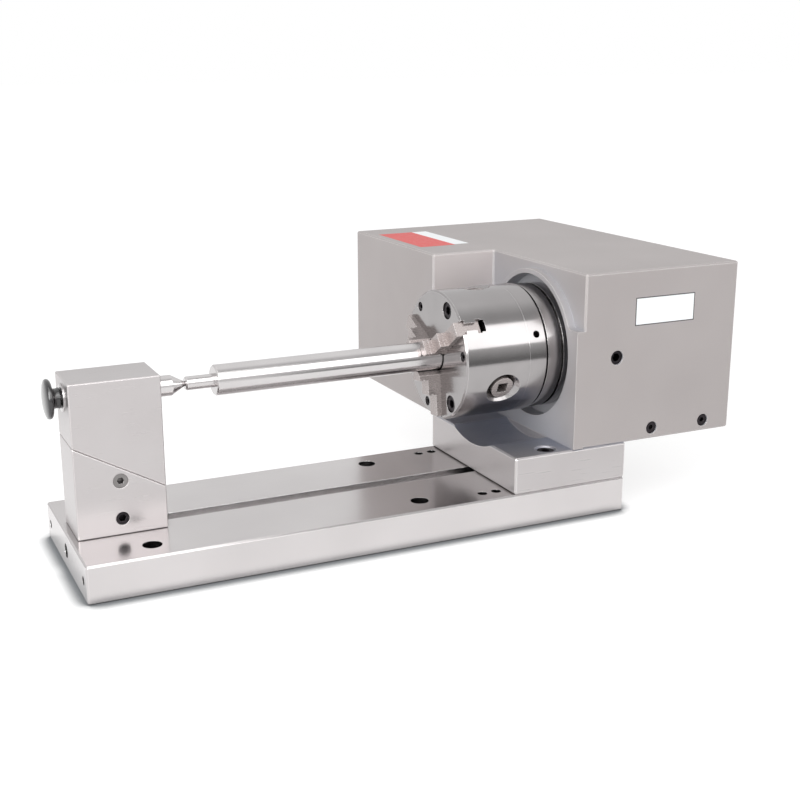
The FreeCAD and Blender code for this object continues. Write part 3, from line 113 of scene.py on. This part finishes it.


# Wear, and painted light and shade

PAINTED_HOLE_SHADE = "#1E1B1D"        # painted shade in holes and deep corners
POCKET_REACH = 45 * MM     # how far the walls of a deep pocket reach for its painted cool tone of light and shade
EDGE_LEAN = (0.9, 0.995)   # how far a rounded normal leans at a full edge, and at none, as a cosine
EDGE_OPEN = (0.55, 0.85)   # how open an edge is where its bright tone of wear and painted highlight starts, and where it is full
FACES_UP = (0.2, 0.7)      # how far a face points up before it counts as an upper face, and as a full one


def edge_share(tree, normal, true_normal):
    """How much the rounded normal leans away from the face: near one along an edge, nought on a flat."""
    lean = add(tree, "ShaderNodeVectorMath", {0: normal, 1: true_normal}, operation="DOT_PRODUCT")
    return spread(tree, lean.outputs["Value"], 1, 0, *EDGE_LEAN)


def worn_metal(made, grain, cloud, light, dark, bright, roughness, relief, edge=0.3, metallic=1,
               shade=None, shade_top=0, oil_reach=7, oil_full=0.05, oil_end=0.3):
    """What all bare metals share. A grain shows in colour, gloss and relief, and outer edges get a brighter tone,
    partly rubbed wear and partly a painted highlight. Painted shade darkens holes and deep corners. Some get a
    painted cool tone of light and shade in deep pockets, with a top share of one on upper faces alone. Relief, edge
    radius and the reach of the hole shade are in mm. Hole shade full and hole shade end say how open a place is for
    each."""
    material, tree, shader, _ = made
    rounded = add(tree, "ShaderNodeBevel", {"Radius": edge * MM}, samples=4).outputs["Normal"]
    true_normal = add(tree, "ShaderNodeNewGeometry").outputs["Normal"]
    tone = between(tree, spread(tree, cloud, 0, 1), hex_colour(dark), hex_colour(light))
    # Painted light and shade: deep pockets take the cool tone, darker than the metal on the foot, lighter on the
    # housing
    if shade:
        pocket = add(tree, "ShaderNodeAmbientOcclusion", {"Distance": POCKET_REACH}, samples=6).outputs["AO"]
        upward = add(tree, "ShaderNodeSeparateXYZ", {"Vector": true_normal}).outputs["Z"]
        cool = add(tree, "ShaderNodeMath", {0: spread(tree, pocket, 1, 0, 0.3, 0.9),
                                            1: spread(tree, upward, 1 - shade_top, 1, *FACES_UP)},
                   operation="MULTIPLY")
        tone = between(tree, cool.outputs["Value"], tone, hex_colour(shade))
    open_share = add(tree, "ShaderNodeAmbientOcclusion", {"Distance": oil_reach * MM}, samples=6).outputs["AO"]
    # Outer edges in open places take the bright tone: partly rubbed wear, partly a painted highlight
    outer = add(tree, "ShaderNodeMath", {0: edge_share(tree, rounded, true_normal),
                                         1: spread(tree, open_share, 0, 1, *EDGE_OPEN)}, operation="MULTIPLY")
    tone = between(tree, outer.outputs["Value"], tone, hex_colour(bright))
    # Painted shade: holes and deep corners, where little light gets in, turn near black
    tone = between(tree, spread(tree, open_share, 1, 0, oil_full, oil_end), tone, hex_colour(PAINTED_HOLE_SHADE))
    bump = add(tree, "ShaderNodeBump", {"Height": grain, "Normal": rounded, "Distance": relief * MM})
    tree.links.new(tone, shader.inputs["Base Color"])
    tree.links.new(spread(tree, grain, roughness * 0.9, roughness * 1.12), shader.inputs["Roughness"])
    tree.links.new(bump.outputs["Normal"], shader.inputs["Normal"])
    shader.inputs["Metallic"].default_value = metallic
    return material


def straight_lay(name, line=0.5, run=30, blotch=60, **look):
    """Metal cut or ground in straight lines along X, so many mm apart and so many mm long."""
    made = start_material(name)
    _, tree, _, where = made
    scale = (PER_MM / run, PER_MM / line, PER_MM / line)
    stretched = add(tree, "ShaderNodeMapping", {"Vector": where, "Scale": scale})
    grain = add(tree, "ShaderNodeTexNoise", {"Vector": stretched.outputs["Vector"], "Scale": 1, "Detail": 3})
    cloud = add(tree, "ShaderNodeTexNoise", {"Vector": where, "Scale": PER_MM / blotch, "Detail": 2})
    return worn_metal(made, grain.outputs["Fac"], cloud.outputs["Fac"], **look)


def grained(name, grit=0.4, blotch=40, **look):
    """Metal with an even grain of small pits, so many mm across."""
    made = start_material(name)
    _, tree, _, where = made
    grain = add(tree, "ShaderNodeTexNoise", {"Vector": where, "Scale": PER_MM / grit, "Detail": 2})
    cloud = add(tree, "ShaderNodeTexNoise", {"Vector": where, "Scale": PER_MM / blotch, "Detail": 2})
    return worn_metal(made, grain.outputs["Fac"], cloud.outputs["Fac"], **look)


def turned_lay(name, feed=0.5, blotch=30, pull=0.8, **look):
    """Metal turned on a lathe about the spindle axis: rings, one for each feed of the tool in mm, which pull the
    light out across them."""
    made = start_material(name)
    _, tree, shader, where = made
    split = add(tree, "ShaderNodeSeparateXYZ", {"Vector": where})
    height = add(tree, "ShaderNodeMath", {0: split.outputs["Z"], 1: AXIS_HEIGHT}, operation="SUBTRACT")
    flat = add(tree, "ShaderNodeCombineXYZ", {"Y": split.outputs["Y"], "Z": height.outputs["Value"]})
    radius = add(tree, "ShaderNodeVectorMath", {0: flat.outputs["Vector"]}, operation="LENGTH")
    along = add(tree, "ShaderNodeMath", {0: split.outputs["X"], 1: radius.outputs["Value"]}, operation="ADD")
    grain = add(tree, "ShaderNodeTexNoise", {"W": along.outputs["Value"], "Scale": PER_MM / feed, "Detail": 2},
                noise_dimensions="1D")
    cloud = add(tree, "ShaderNodeTexNoise", {"Vector": where, "Scale": PER_MM / blotch, "Detail": 2})
    around = add(tree, "ShaderNodeTangent", direction_type="RADIAL", axis="X")
    tree.links.new(around.outputs["Tangent"], shader.inputs["Tangent"])
    shader.inputs["Anisotropic"].default_value = pull
    shader.inputs["Anisotropic Rotation"].default_value = 0.25
    return worn_metal(made, grain.outputs["Fac"], cloud.outputs["Fac"], **look)


def moulded(name, light, dark, roughness, grit, relief, coat=0):
    """A moulded, painted or printed surface that isn't metal, with a fine grain. Grit and relief are in mm."""
    material, tree, shader, where = start_material(name)
    grain = add(tree, "ShaderNodeTexNoise", {"Vector": where, "Scale": PER_MM / grit, "Detail": 2}).outputs["Fac"]
    bump = add(tree, "ShaderNodeBump", {"Height": grain, "Distance": relief * MM})
    tree.links.new(between(tree, spread(tree, grain, 0, 1), hex_colour(dark), hex_colour(light)),
                   shader.inputs["Base Color"])
    tree.links.new(spread(tree, grain, roughness * 0.85, roughness * 1.2), shader.inputs["Roughness"])
    tree.links.new(bump.outputs["Normal"], shader.inputs["Normal"])
    shader.inputs["Coat Weight"].default_value = coat
    shader.inputs["Coat Roughness"].default_value = 0.06
    return material


def painted_light_walls(material, colour, start):
    """Painted light: the walls that face the front, further back than a start along Y, get a brighter tone."""
    tree = material.node_tree
    shader = next(node for node in tree.nodes if node.type == "BSDF_PRINCIPLED")
    cast = shader.inputs["Base Color"].links[0].from_socket
    where = add(tree, "ShaderNodeTexCoord").outputs
    back = add(tree, "ShaderNodeSeparateXYZ", {"Vector": where["Object"]}).outputs["Y"]
    facing = add(tree, "ShaderNodeSeparateXYZ", {"Vector": where["Normal"]}).outputs["Y"]
    share = add(tree, "ShaderNodeMath", {0: spread(tree, back, 0, 1, start, start + 2 * MM),
                                         1: spread(tree, facing, 0, 1, -0.6, -0.95)}, operation="MULTIPLY")
    tree.links.new(between(tree, share.outputs["Value"], cast, hex_colour(colour)), shader.inputs["Base Color"])


# Materials. Light and dark are the two tones of the surface, and bright is that of outer edges, partly rubbed wear
# and partly a painted highlight. A satin skin scatters part of the light, so it counts as less than wholly metallic.

# Base plate, surface-ground and lapped: straight fine lines and an almost mirror-like top
lapped_steel = straight_lay("lapped_steel", light="#D0CCCC", dark="#C9C5C5", bright="#E6E2E2", roughness=0.2,
                            relief=0.002, oil_reach=14, oil_full=0.15, oil_end=0.56)
# Painted light: the base plate's walls that face the front further back, in its groove and holes, turn white
painted_light_walls(lapped_steel, "#FFFFFF", -30 * MM)
# Tailstock, surface-ground: a pale satin sheen
ground_steel = straight_lay("ground_steel", light="#BEBABA", dark="#B8B3B3", bright="#DCD7D6", roughness=0.3,
                            relief=0.003, edge=0.6, metallic=0.85, oil_reach=2, oil_full=0.01, oil_end=0.1)
# Headstock foot, ground after the base plate: a shade darker, with painted cool shade on its upper faces under the
# chuck
foot_steel = straight_lay("foot_steel", light="#BBB7B7", dark="#B4AFAF", bright="#ECE8E7", roughness=0.3,
                          relief=0.001, edge=0.7, metallic=0.7, shade="#8E93A3", shade_top=1,
                          oil_reach=3, oil_full=0.01, oil_end=0.16)
# Nickel-plated castings with a satin skin: warm grey, with a soft even sheen
SATIN_CASTING = {"light": "#A7A1A0", "dark": "#A29C9B", "bright": "#C9C5C4", "roughness": 0.5, "relief": 0.003,
                 "edge": 0.7, "metallic": 0.35, "grit": 0.3, "blotch": 60}
plated_casting = grained("plated_casting", **SATIN_CASTING)
# The same casting for the housing, with painted cool light in its notch, and painted light on the wall behind the
# chuck
housing_casting = grained("housing_casting", shade="#B0B1B6", **SATIN_CASTING)
painted_light_walls(housing_casting, "#CAC3C2", 30 * MM)
# Steel turned and polished: hard bands of light, with faint rings from the tool
turned_steel = turned_lay("turned_steel", light="#A7A4A4", dark="#9E9B9B", bright="#DAD7D7", roughness=0.17,
                          relief=0.002)
# The bar between the centres, ground and polished: the brightest metal here
polished_steel = turned_lay("polished_steel", light="#D0CDCD", dark="#C9C6C6", bright="#E8E5E5", roughness=0.16,
                            relief=0.001, feed=0.4)
# Hardened and ground jaws, scroll and pinions: warm grey faces with sharp bright edges
jaw_steel = straight_lay("jaw_steel", light="#A8A09E", dark="#9F9795", bright="#E8E4E3", roughness=0.26,
                         relief=0.0012, metallic=0.75, line=0.4, run=8)
# Plain steel of the clamp screw and its washer: a dull mid grey
screw_steel = grained("screw_steel", light="#8A8786", dark="#7E7B7A", bright="#B5B2B0", roughness=0.36,
                      relief=0.004, metallic=0.8, blotch=8, oil_reach=4, oil_full=0.15, oil_end=0.6)
# Lapped bearing steel: smooth as a mirror
bearing_steel = grained("bearing_steel", light="#D8DADB", dark="#D0D2D4", bright="#F0F0F0", roughness=0.07,
                        relief=0.002, edge=0.2, grit=0.3)
# Black oxide on steel screws: near black with a faint warm sheen
black_oxide = grained("black_oxide", light="#3A3639", dark="#2B282B", bright="#5E5A5C", roughness=0.4,
                      relief=0.005, edge=0.25, grit=0.5)
# Aluminium pulleys, machined all over: pale and softly shining
pulley_aluminium = grained("pulley_aluminium", light="#CDCFD0", dark="#C1C3C5", bright="#E6E7E8", roughness=0.3,
                           relief=0.006, grit=0.5)
# Drawn spring wire: a cool grey with small hard lights
spring_wire = grained("spring_wire", light="#9A9B9E", dark="#85868A", bright="#C0C0C2", roughness=0.28,
                      relief=0.004, edge=0.1, grit=0.3)
# Phenolic knob: glossy black under a polished skin
phenolic = moulded("black_phenolic", light="#1B191C", dark="#131214", roughness=0.22, grit=0.8, relief=0.004,
                   coat=0.8)
# Nylon gland: matt black with a fine moulded grain
nylon = moulded("black_nylon", light="#232325", dark="#19191B", roughness=0.5, grit=0.4, relief=0.02)
# Belt rubber with a woven face: dull and nearly black
belt_rubber = moulded("belt_rubber", light="#2B2A29", dark="#1C1B1B", roughness=0.8, grit=0.5, relief=0.04)
# Stoved enamel on the motor: dark blue-grey gloss with a slight orange peel
motor_enamel = moulded("motor_enamel", light="#3F4A55", dark="#38434E", roughness=0.3, grit=1.6, relief=0.02,
                       coat=0.3)
# Printed film of the bare plates: flat, even colours with a low sheen
white_film = moulded("white_film", light="#EAEDEE", dark="#E7EAEB", roughness=0.5, grit=2.0, relief=0.001)
red_film = moulded("red_film", light="#D05A58", dark="#C9524F", roughness=0.55, grit=2.0, relief=0.003)
dark_film = moulded("dark_film", light="#5A5859", dark="#4C4A4B", roughness=0.4, grit=2.0, relief=0.003)

FINISHES = {
    "base_plate": lapped_steel, "tail_base": ground_steel, "tail_block": ground_steel,
    "tail_key": ground_steel, "headstock_foot": foot_steel,
    "headstock_housing": housing_casting, "bottom_cover": plated_casting, "end_cover": plated_casting,
    "adaptor_plate": turned_steel, "chuck_back_plate": turned_steel, "chuck_body": turned_steel,
    "spindle": turned_steel, "bearing_tube": turned_steel, "bearing_nut": turned_steel,
    "pulley_nut": turned_steel, "test_bar": polished_steel, "centre_quill": polished_steel,
    "rear_bush": polished_steel, "motor_shaft": turned_steel,
    "clamp_washer": screw_steel, "height_clamp_screw": screw_steel, "scroll_plate": jaw_steel,
    "jaw_1": jaw_steel, "jaw_2": jaw_steel, "jaw_3": jaw_steel,
    "pinion_1": jaw_steel, "pinion_2": jaw_steel, "pinion_3": jaw_steel,
    "bearing_balls": bearing_steel, "bearing_inner_races": bearing_steel,
    "bearing_outer_races": bearing_steel,
    "adaptor_screws": black_oxide, "base_clamp_screw": black_oxide, "bottom_cover_screws": black_oxide,
    "chuck_face_screws": black_oxide, "chuck_mounting_screws": black_oxide,
    "end_cover_screws": black_oxide, "foot_screws": black_oxide, "housing_screws": black_oxide,
    "lock_screw": black_oxide, "motor_screws": black_oxide,
    "pull_knob": phenolic, "cable_gland": nylon, "drive_belt": belt_rubber,
    "motor_body": motor_enamel, "motor_bracket": motor_enamel,
    "motor_pulley": pulley_aluminium, "spindle_pulley": pulley_aluminium, "centre_spring": spring_wire,
}


def dress_nodes():
    """Give each solid of the frame its finish."""
    for name, material in FINISHES.items():
        slots = nodes[name].data.materials
        slots.clear()
        slots.append(material)


# Pieces modelled as meshes

def make_piece(name, work, materials, body, smooth=True):
    """Turn a worked mesh into a piece that rides on a body."""
    mesh = bpy.data.meshes.new(name)
    bmesh.ops.recalc_face_normals(work, faces=work.faces)
    work.to_mesh(mesh)
    work.free()
    for material in materials:
        mesh.materials.append(material)
    for face in mesh.polygons:
        face.use_smooth = smooth
    piece = bpy.data.objects.new(name, mesh)
    bpy.context.scene.collection.objects.link(piece)
    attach(piece, body)
    return piece


def lathe(profile, centre, steps):
    """A mesh spun about a line along X. The profile is (distance along X, radius) points in metres, and a point of
    no radius closes an end."""
    work = bmesh.new()
    rings = []
    for along, radius in profile:
        if radius < 1e-9:
            rings.append([work.verts.new((centre.x + along, centre.y, centre.z))])
            continue
        ring = []
        for i in range(steps):
            angle = 2 * math.pi * i / steps
            ring.append(work.verts.new((centre.x + along, centre.y + radius * math.sin(angle),
                                        centre.z + radius * math.cos(angle))))
        rings.append(ring)
    for first, second in zip(rings, rings[1:]):
        for i in range(steps):
            after = (i + 1) % steps
            corners = [first[i % len(first)], first[after % len(first)],
                       second[after % len(second)], second[i % len(second)]]
            corners = list(dict.fromkeys(corners))
            if len(corners) > 2:
                work.faces.new(corners)
    return work


def rounded_turn(x, radius, bend, start, end, count):
    """Points of a round in a lathe profile, between two angles in degrees."""
    return [(x + bend * math.cos(math.radians(start + (end - start) * i / count)),
             radius + bend * math.sin(math.radians(start + (end - start) * i / count)))
            for i in range(count + 1)]


# The pull knob: the round of its rim. Its dome as a share of its length, how much of that it rises, and how much of
# a quarter arc it follows. Its neck as a share of its radius.
KNOB_RIM = 1.7 * MM
KNOB_DOME, DOME_RISE, DOME_ARC, DOME_STEPS = 0.22, 0.9, 0.92, 12
KNOB_NECK = 0.52
# The waist behind the rim: shares of the knob's length and of the neck's radius
KNOB_WAIST = ((0.56, 1.12), (0.62, 0.98), (0.78, 0.95), (0.9, 1))


def pull_knob():
    """The mushroom knob: a shallow dome, a full round rim and a waisted neck."""
    low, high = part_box("pull_knob")
    radius = (high.z - low.z) / 2
    length = high.x - low.x
    neck = radius * KNOB_NECK
    dome = length * KNOB_DOME
    profile = [(0.0, 0.0)]
    for i in range(1, DOME_STEPS + 1):
        share = i / DOME_STEPS
        profile.append((dome * (1 - math.sqrt(1 - (share * DOME_ARC) ** 2)) * DOME_RISE,
                        (radius - KNOB_RIM) * share))
    x = profile[-1][0] + KNOB_RIM
    profile += rounded_turn(x, radius - KNOB_RIM, KNOB_RIM, 150, -20, 14)[1:]
    profile += [(x + KNOB_RIM * 1.1, radius - KNOB_RIM * 2.4)]
    profile += [(length * along, neck * wide) for along, wide in KNOB_WAIST]
    profile += [(length - 0.3 * MM, neck * 1.02), (length, neck * 0.97), (length, 0.0)]
    work = lathe(profile, Vector((low.x, 0, AXIS_HEIGHT)), 96)
    knob = make_piece("knob_cap", work, [phenolic], "centre")
    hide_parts("pull_knob")


def plate_on_face(name, corner, across, up, lift, insets, materials):
    """A thin bare plate on a flat face of the housing: one layer for each inset, each of them a lift higher and in
    its own material, so that the first one shows as a border round the next."""
    work = bmesh.new()
    normal = across.cross(up).normalized()
    width, height = across.length, up.length
    right, top = across.normalized(), up.normalized()

    def layer(inset, thickness, index):
        """A thin block inside the plate's outline, from the face outward."""
        corners = []
        for level in (0, thickness):
            for x, y in ((inset, inset), (width - inset, inset), (width - inset, height - inset),
                         (inset, height - inset)):
                corners.append(work.verts.new(corner + right * x + top * y + normal * level))
        bottom, upper = corners[:4], corners[4:]
        faces = [work.faces.new(upper), work.faces.new(bottom[::-1])]
        for i in range(4):
            faces.append(work.faces.new([bottom[i], bottom[(i + 1) % 4], upper[(i + 1) % 4], upper[i]]))
        for face in faces:
            face.material_index = index

    for index, inset in enumerate(insets):
        layer(inset, lift * (index + 1), index)
    return make_piece(name, work, materials, "stand", smooth=False)


def bare_plates():
    """The white plate on the front of the housing, and the red and white pair on its top."""
    low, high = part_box("headstock_housing")
    # Each plate: name, first corner, its two sides, the lift of a layer, the inset of each layer, and their films
    plates = (
        ("front_plate", (low.x + 81.6 * MM, low.y, AXIS_HEIGHT + 18.5 * MM), (44 * MM, 0, 0), (0, 0, 17.5 * MM),
         0.03 * MM, (0, 0.7 * MM), [dark_film, white_film]),
        ("top_plate", (low.x + 6.6 * MM, 86 * MM, high.z), (26.2 * MM, 0, 0), (0, 68 * MM, 0),
         0.05 * MM, (0,), [red_film]),
        ("top_strip", (low.x + 32.8 * MM, 88 * MM, high.z), (11.5 * MM, 0, 0), (0, 66 * MM, 0),
         0.05 * MM, (0,), [white_film]),
    )
    for name, corner, across, up, lift, insets, films in plates:
        plate_on_face(name, Vector(corner), Vector(across), Vector(up), lift, insets, films)


# Stage: floor, light and camera

FLOOR_REACH = 12.0             # from the middle to each side, in metres
FLOOR_GAP = 0.02 * MM          # under the object
CONTACT_REACH = 13 * MM        # how close the object stands over the floor where it darkens it
CONTACT_OPEN = (0.6, 0.93)     # how open the floor is where the contact shadow is full, and where it ends
FLOOR_GLOW = 0.76              # strength of the floor's own light
FLOOR_UNSEEN = 0.4             # the least light of the shadowed floor for what the camera doesn't see directly


def floor():
    """A plain white floor. It lights itself in part, with a painted contact shadow where the object stands close
    over it.
    """
    reach = FLOOR_REACH
    mesh = bpy.data.meshes.new("floor")
    mesh.from_pydata([(-reach, -reach, 0), (reach, -reach, 0), (reach, reach, 0), (-reach, reach, 0)],
                     [], [(0, 1, 2, 3)])
    ground = bpy.data.objects.new("floor", mesh)
    ground.location.z = cad_box[0].z - FLOOR_GAP
    bpy.context.scene.collection.objects.link(ground)
    material, tree, shader, _ = start_material("floor_white")
    near = add(tree, "ShaderNodeAmbientOcclusion", {"Distance": CONTACT_REACH}, samples=16).outputs["AO"]
    seen = add(tree, "ShaderNodeLightPath").outputs["Is Camera Ray"]
    unseen = spread(tree, seen, FLOOR_UNSEEN, 0, 0, 1)
    light = add(tree, "ShaderNodeMath", {0: spread(tree, near, 0, 1, *CONTACT_OPEN), 1: unseen},
                operation="MAXIMUM")
    tree.links.new(between(tree, light.outputs["Value"], hex_colour("#56585A"), (1, 1, 1, 1)),
                   shader.inputs["Emission Color"])
    tree.links.new(between(tree, light.outputs["Value"], hex_colour("#6A6C6E"), hex_colour("#9E9E9E")),
                   shader.inputs["Base Color"])
    shader.inputs["Roughness"].default_value = 1
    shader.inputs["Specular IOR Level"].default_value = 0
    shader.inputs["Emission Strength"].default_value = FLOOR_GLOW
    mesh.materials.append(material)


# Brightness of the studio in reflections, by the angle in degrees from the front over the top to the back
STUDIO = ((0, 0.9), (16, 0.9), (17, 2.9), (56, 2.9), (58, 0.6), (72, 0.56), (90, 0.86), (102, 1.04), (130, 1.02),
          (180, 0.82))
MATT_FILL = 0.75               # strength of the even light on matt surfaces


def world_light():
    """White for the eye, an even fill for matt surfaces, and a soft box over a grey room for shiny ones."""
    world = bpy.data.worlds.new("studio")
    bpy.context.scene.world = world
    world.use_nodes = True
    tree = world.node_tree
    tree.nodes.clear()
    way = add(tree, "ShaderNodeTexCoord").outputs["Generated"]
    split = add(tree, "ShaderNodeSeparateXYZ", {"Vector": way})
    front = add(tree, "ShaderNodeMath", {0: split.outputs["Y"], 1: -1}, operation="MULTIPLY").outputs["Value"]
    angle = add(tree, "ShaderNodeMath", {0: split.outputs["Z"], 1: front}, operation="ARCTAN2").outputs["Value"]
    turn = add(tree, "ShaderNodeMath", {0: angle, 1: 1 / math.pi}, operation="MULTIPLY").outputs["Value"]
    room = add(tree, "ShaderNodeValToRGB", {"Fac": turn})
    stops = room.color_ramp.elements
    brightest = max(level for _, level in STUDIO)
    for degrees, _ in STUDIO[1:-1]:
        stops.new(degrees / 180)
    for stop, (degrees, level) in zip(stops, STUDIO):
        stop.position = degrees / 180
        stop.color = [level / brightest] * 3 + [1]
    path = add(tree, "ShaderNodeLightPath")
    shiny = add(tree, "ShaderNodeBackground", {"Color": room.outputs["Color"], "Strength": brightest})
    fill = add(tree, "ShaderNodeBackground", {"Color": (1, 1, 1, 1), "Strength": MATT_FILL})
    white = add(tree, "ShaderNodeBackground", {"Color": (1, 1, 1, 1), "Strength": 1})
    lit = add(tree, "ShaderNodeMixShader", {0: path.outputs["Is Glossy Ray"], 1: fill.outputs["Background"],
                                            2: shiny.outputs["Background"]})
    seen = add(tree, "ShaderNodeMath", {0: path.outputs["Is Camera Ray"], 1: path.outputs["Is Transmission Ray"]},
               operation="MAXIMUM")
    both = add(tree, "ShaderNodeMixShader", {0: seen.outputs["Value"], 1: lit.outputs["Shader"],
                                             2: white.outputs["Background"]})
    add(tree, "ShaderNodeOutputWorld", {"Surface": both.outputs["Shader"]})


def lamp(name, place, target, wide, high, power):
    """A soft rectangular lamp that points at a target."""
    data = bpy.data.lights.new(name, "AREA")
    data.shape = "RECTANGLE"
    data.size, data.size_y, data.energy = wide, high, power
    obj = bpy.data.objects.new(name, data)
    obj.location = place
    obj.rotation_euler = (Vector(target) - Vector(place)).to_track_quat("-Z", "Y").to_euler()
    obj.visible_camera = False
    bpy.context.scene.collection.objects.link(obj)


# The front card: its two ends along X and its place along Y in metres, how far it rises over the spindle axis as an
# angle in degrees, its brightness at the foot and at the top, and the share of its height that is all foot
CARD_LEFT, CARD_RIGHT, CARD_FRONT = 0.12, 0.5, -0.47
CARD_RISE = 17
CARD_FOOT_LIGHT, CARD_TOP_LIGHT, CARD_FOOT = 0.22, 0.85, 0.2


def front_card():
    """A card in front that only shows in reflections: pale grey at its top and dark at its foot."""
    left, right, front = CARD_LEFT, CARD_RIGHT, CARD_FRONT
    high = AXIS_HEIGHT - front * math.tan(math.radians(CARD_RISE))
    mesh = bpy.data.meshes.new("front_card")
    mesh.from_pydata([(left, front, 0), (right, front, 0), (right, front, high), (left, front, high)],
                     [], [(0, 1, 2, 3)])
    card = bpy.data.objects.new("front_card", mesh)
    bpy.context.scene.collection.objects.link(card)
    material, tree, shader, where = start_material("front_card")
    height = add(tree, "ShaderNodeSeparateXYZ", {"Vector": where}).outputs["Z"]
    tree.links.new(spread(tree, height, CARD_FOOT_LIGHT, CARD_TOP_LIGHT, CARD_FOOT * high, high),
                   shader.inputs["Emission Strength"])
    shader.inputs["Base Color"].default_value = (0, 0, 0, 1)
    shader.inputs["Specular IOR Level"].default_value = 0
    shader.inputs["Emission Color"].default_value = (1, 1, 1, 1)
    mesh.materials.append(material)
    card.visible_camera = card.visible_diffuse = card.visible_shadow = card.visible_transmission = False


# The photograph's view: place in metres, turn in degrees, lens and sensor in mm, and shift as a share of the frame
CAMERA_PLACE = (-281.1 * MM, -668.9 * MM, 280.2 * MM)
CAMERA_TURN = (74.642, 0.450, -24.060)
CAMERA_LENS, CAMERA_SENSOR = 56.2855, 36
CAMERA_SHIFT = (0.044, -0.0046)


def camera():
    """The camera at the photograph's viewing angle."""
    data = bpy.data.cameras.new("camera")
    data.lens, data.sensor_width = CAMERA_LENS, CAMERA_SENSOR
    data.shift_x, data.shift_y = CAMERA_SHIFT
    data.clip_start, data.clip_end = 0.01, 50
    obj = bpy.data.objects.new("camera", data)
    obj.location = CAMERA_PLACE
    obj.rotation_euler = Euler([math.radians(angle) for angle in CAMERA_TURN])
    bpy.context.scene.collection.objects.link(obj)
    bpy.context.scene.camera = obj


dress_nodes()
pull_knob()
bare_plates()
floor()
world_light()
lamp("key", place=(-0.3, -0.6, 1.2), target=(0.05, 0.05, 0.08), wide=1.2, high=0.8, power=6)
lamp("notch", place=(-0.8, -0.65, 0.55), target=(0.12, 0.03, 0.12), wide=0.7, high=0.7, power=7)
front_card()
camera()
bpy.context.scene.view_settings.view_transform = "Standard"
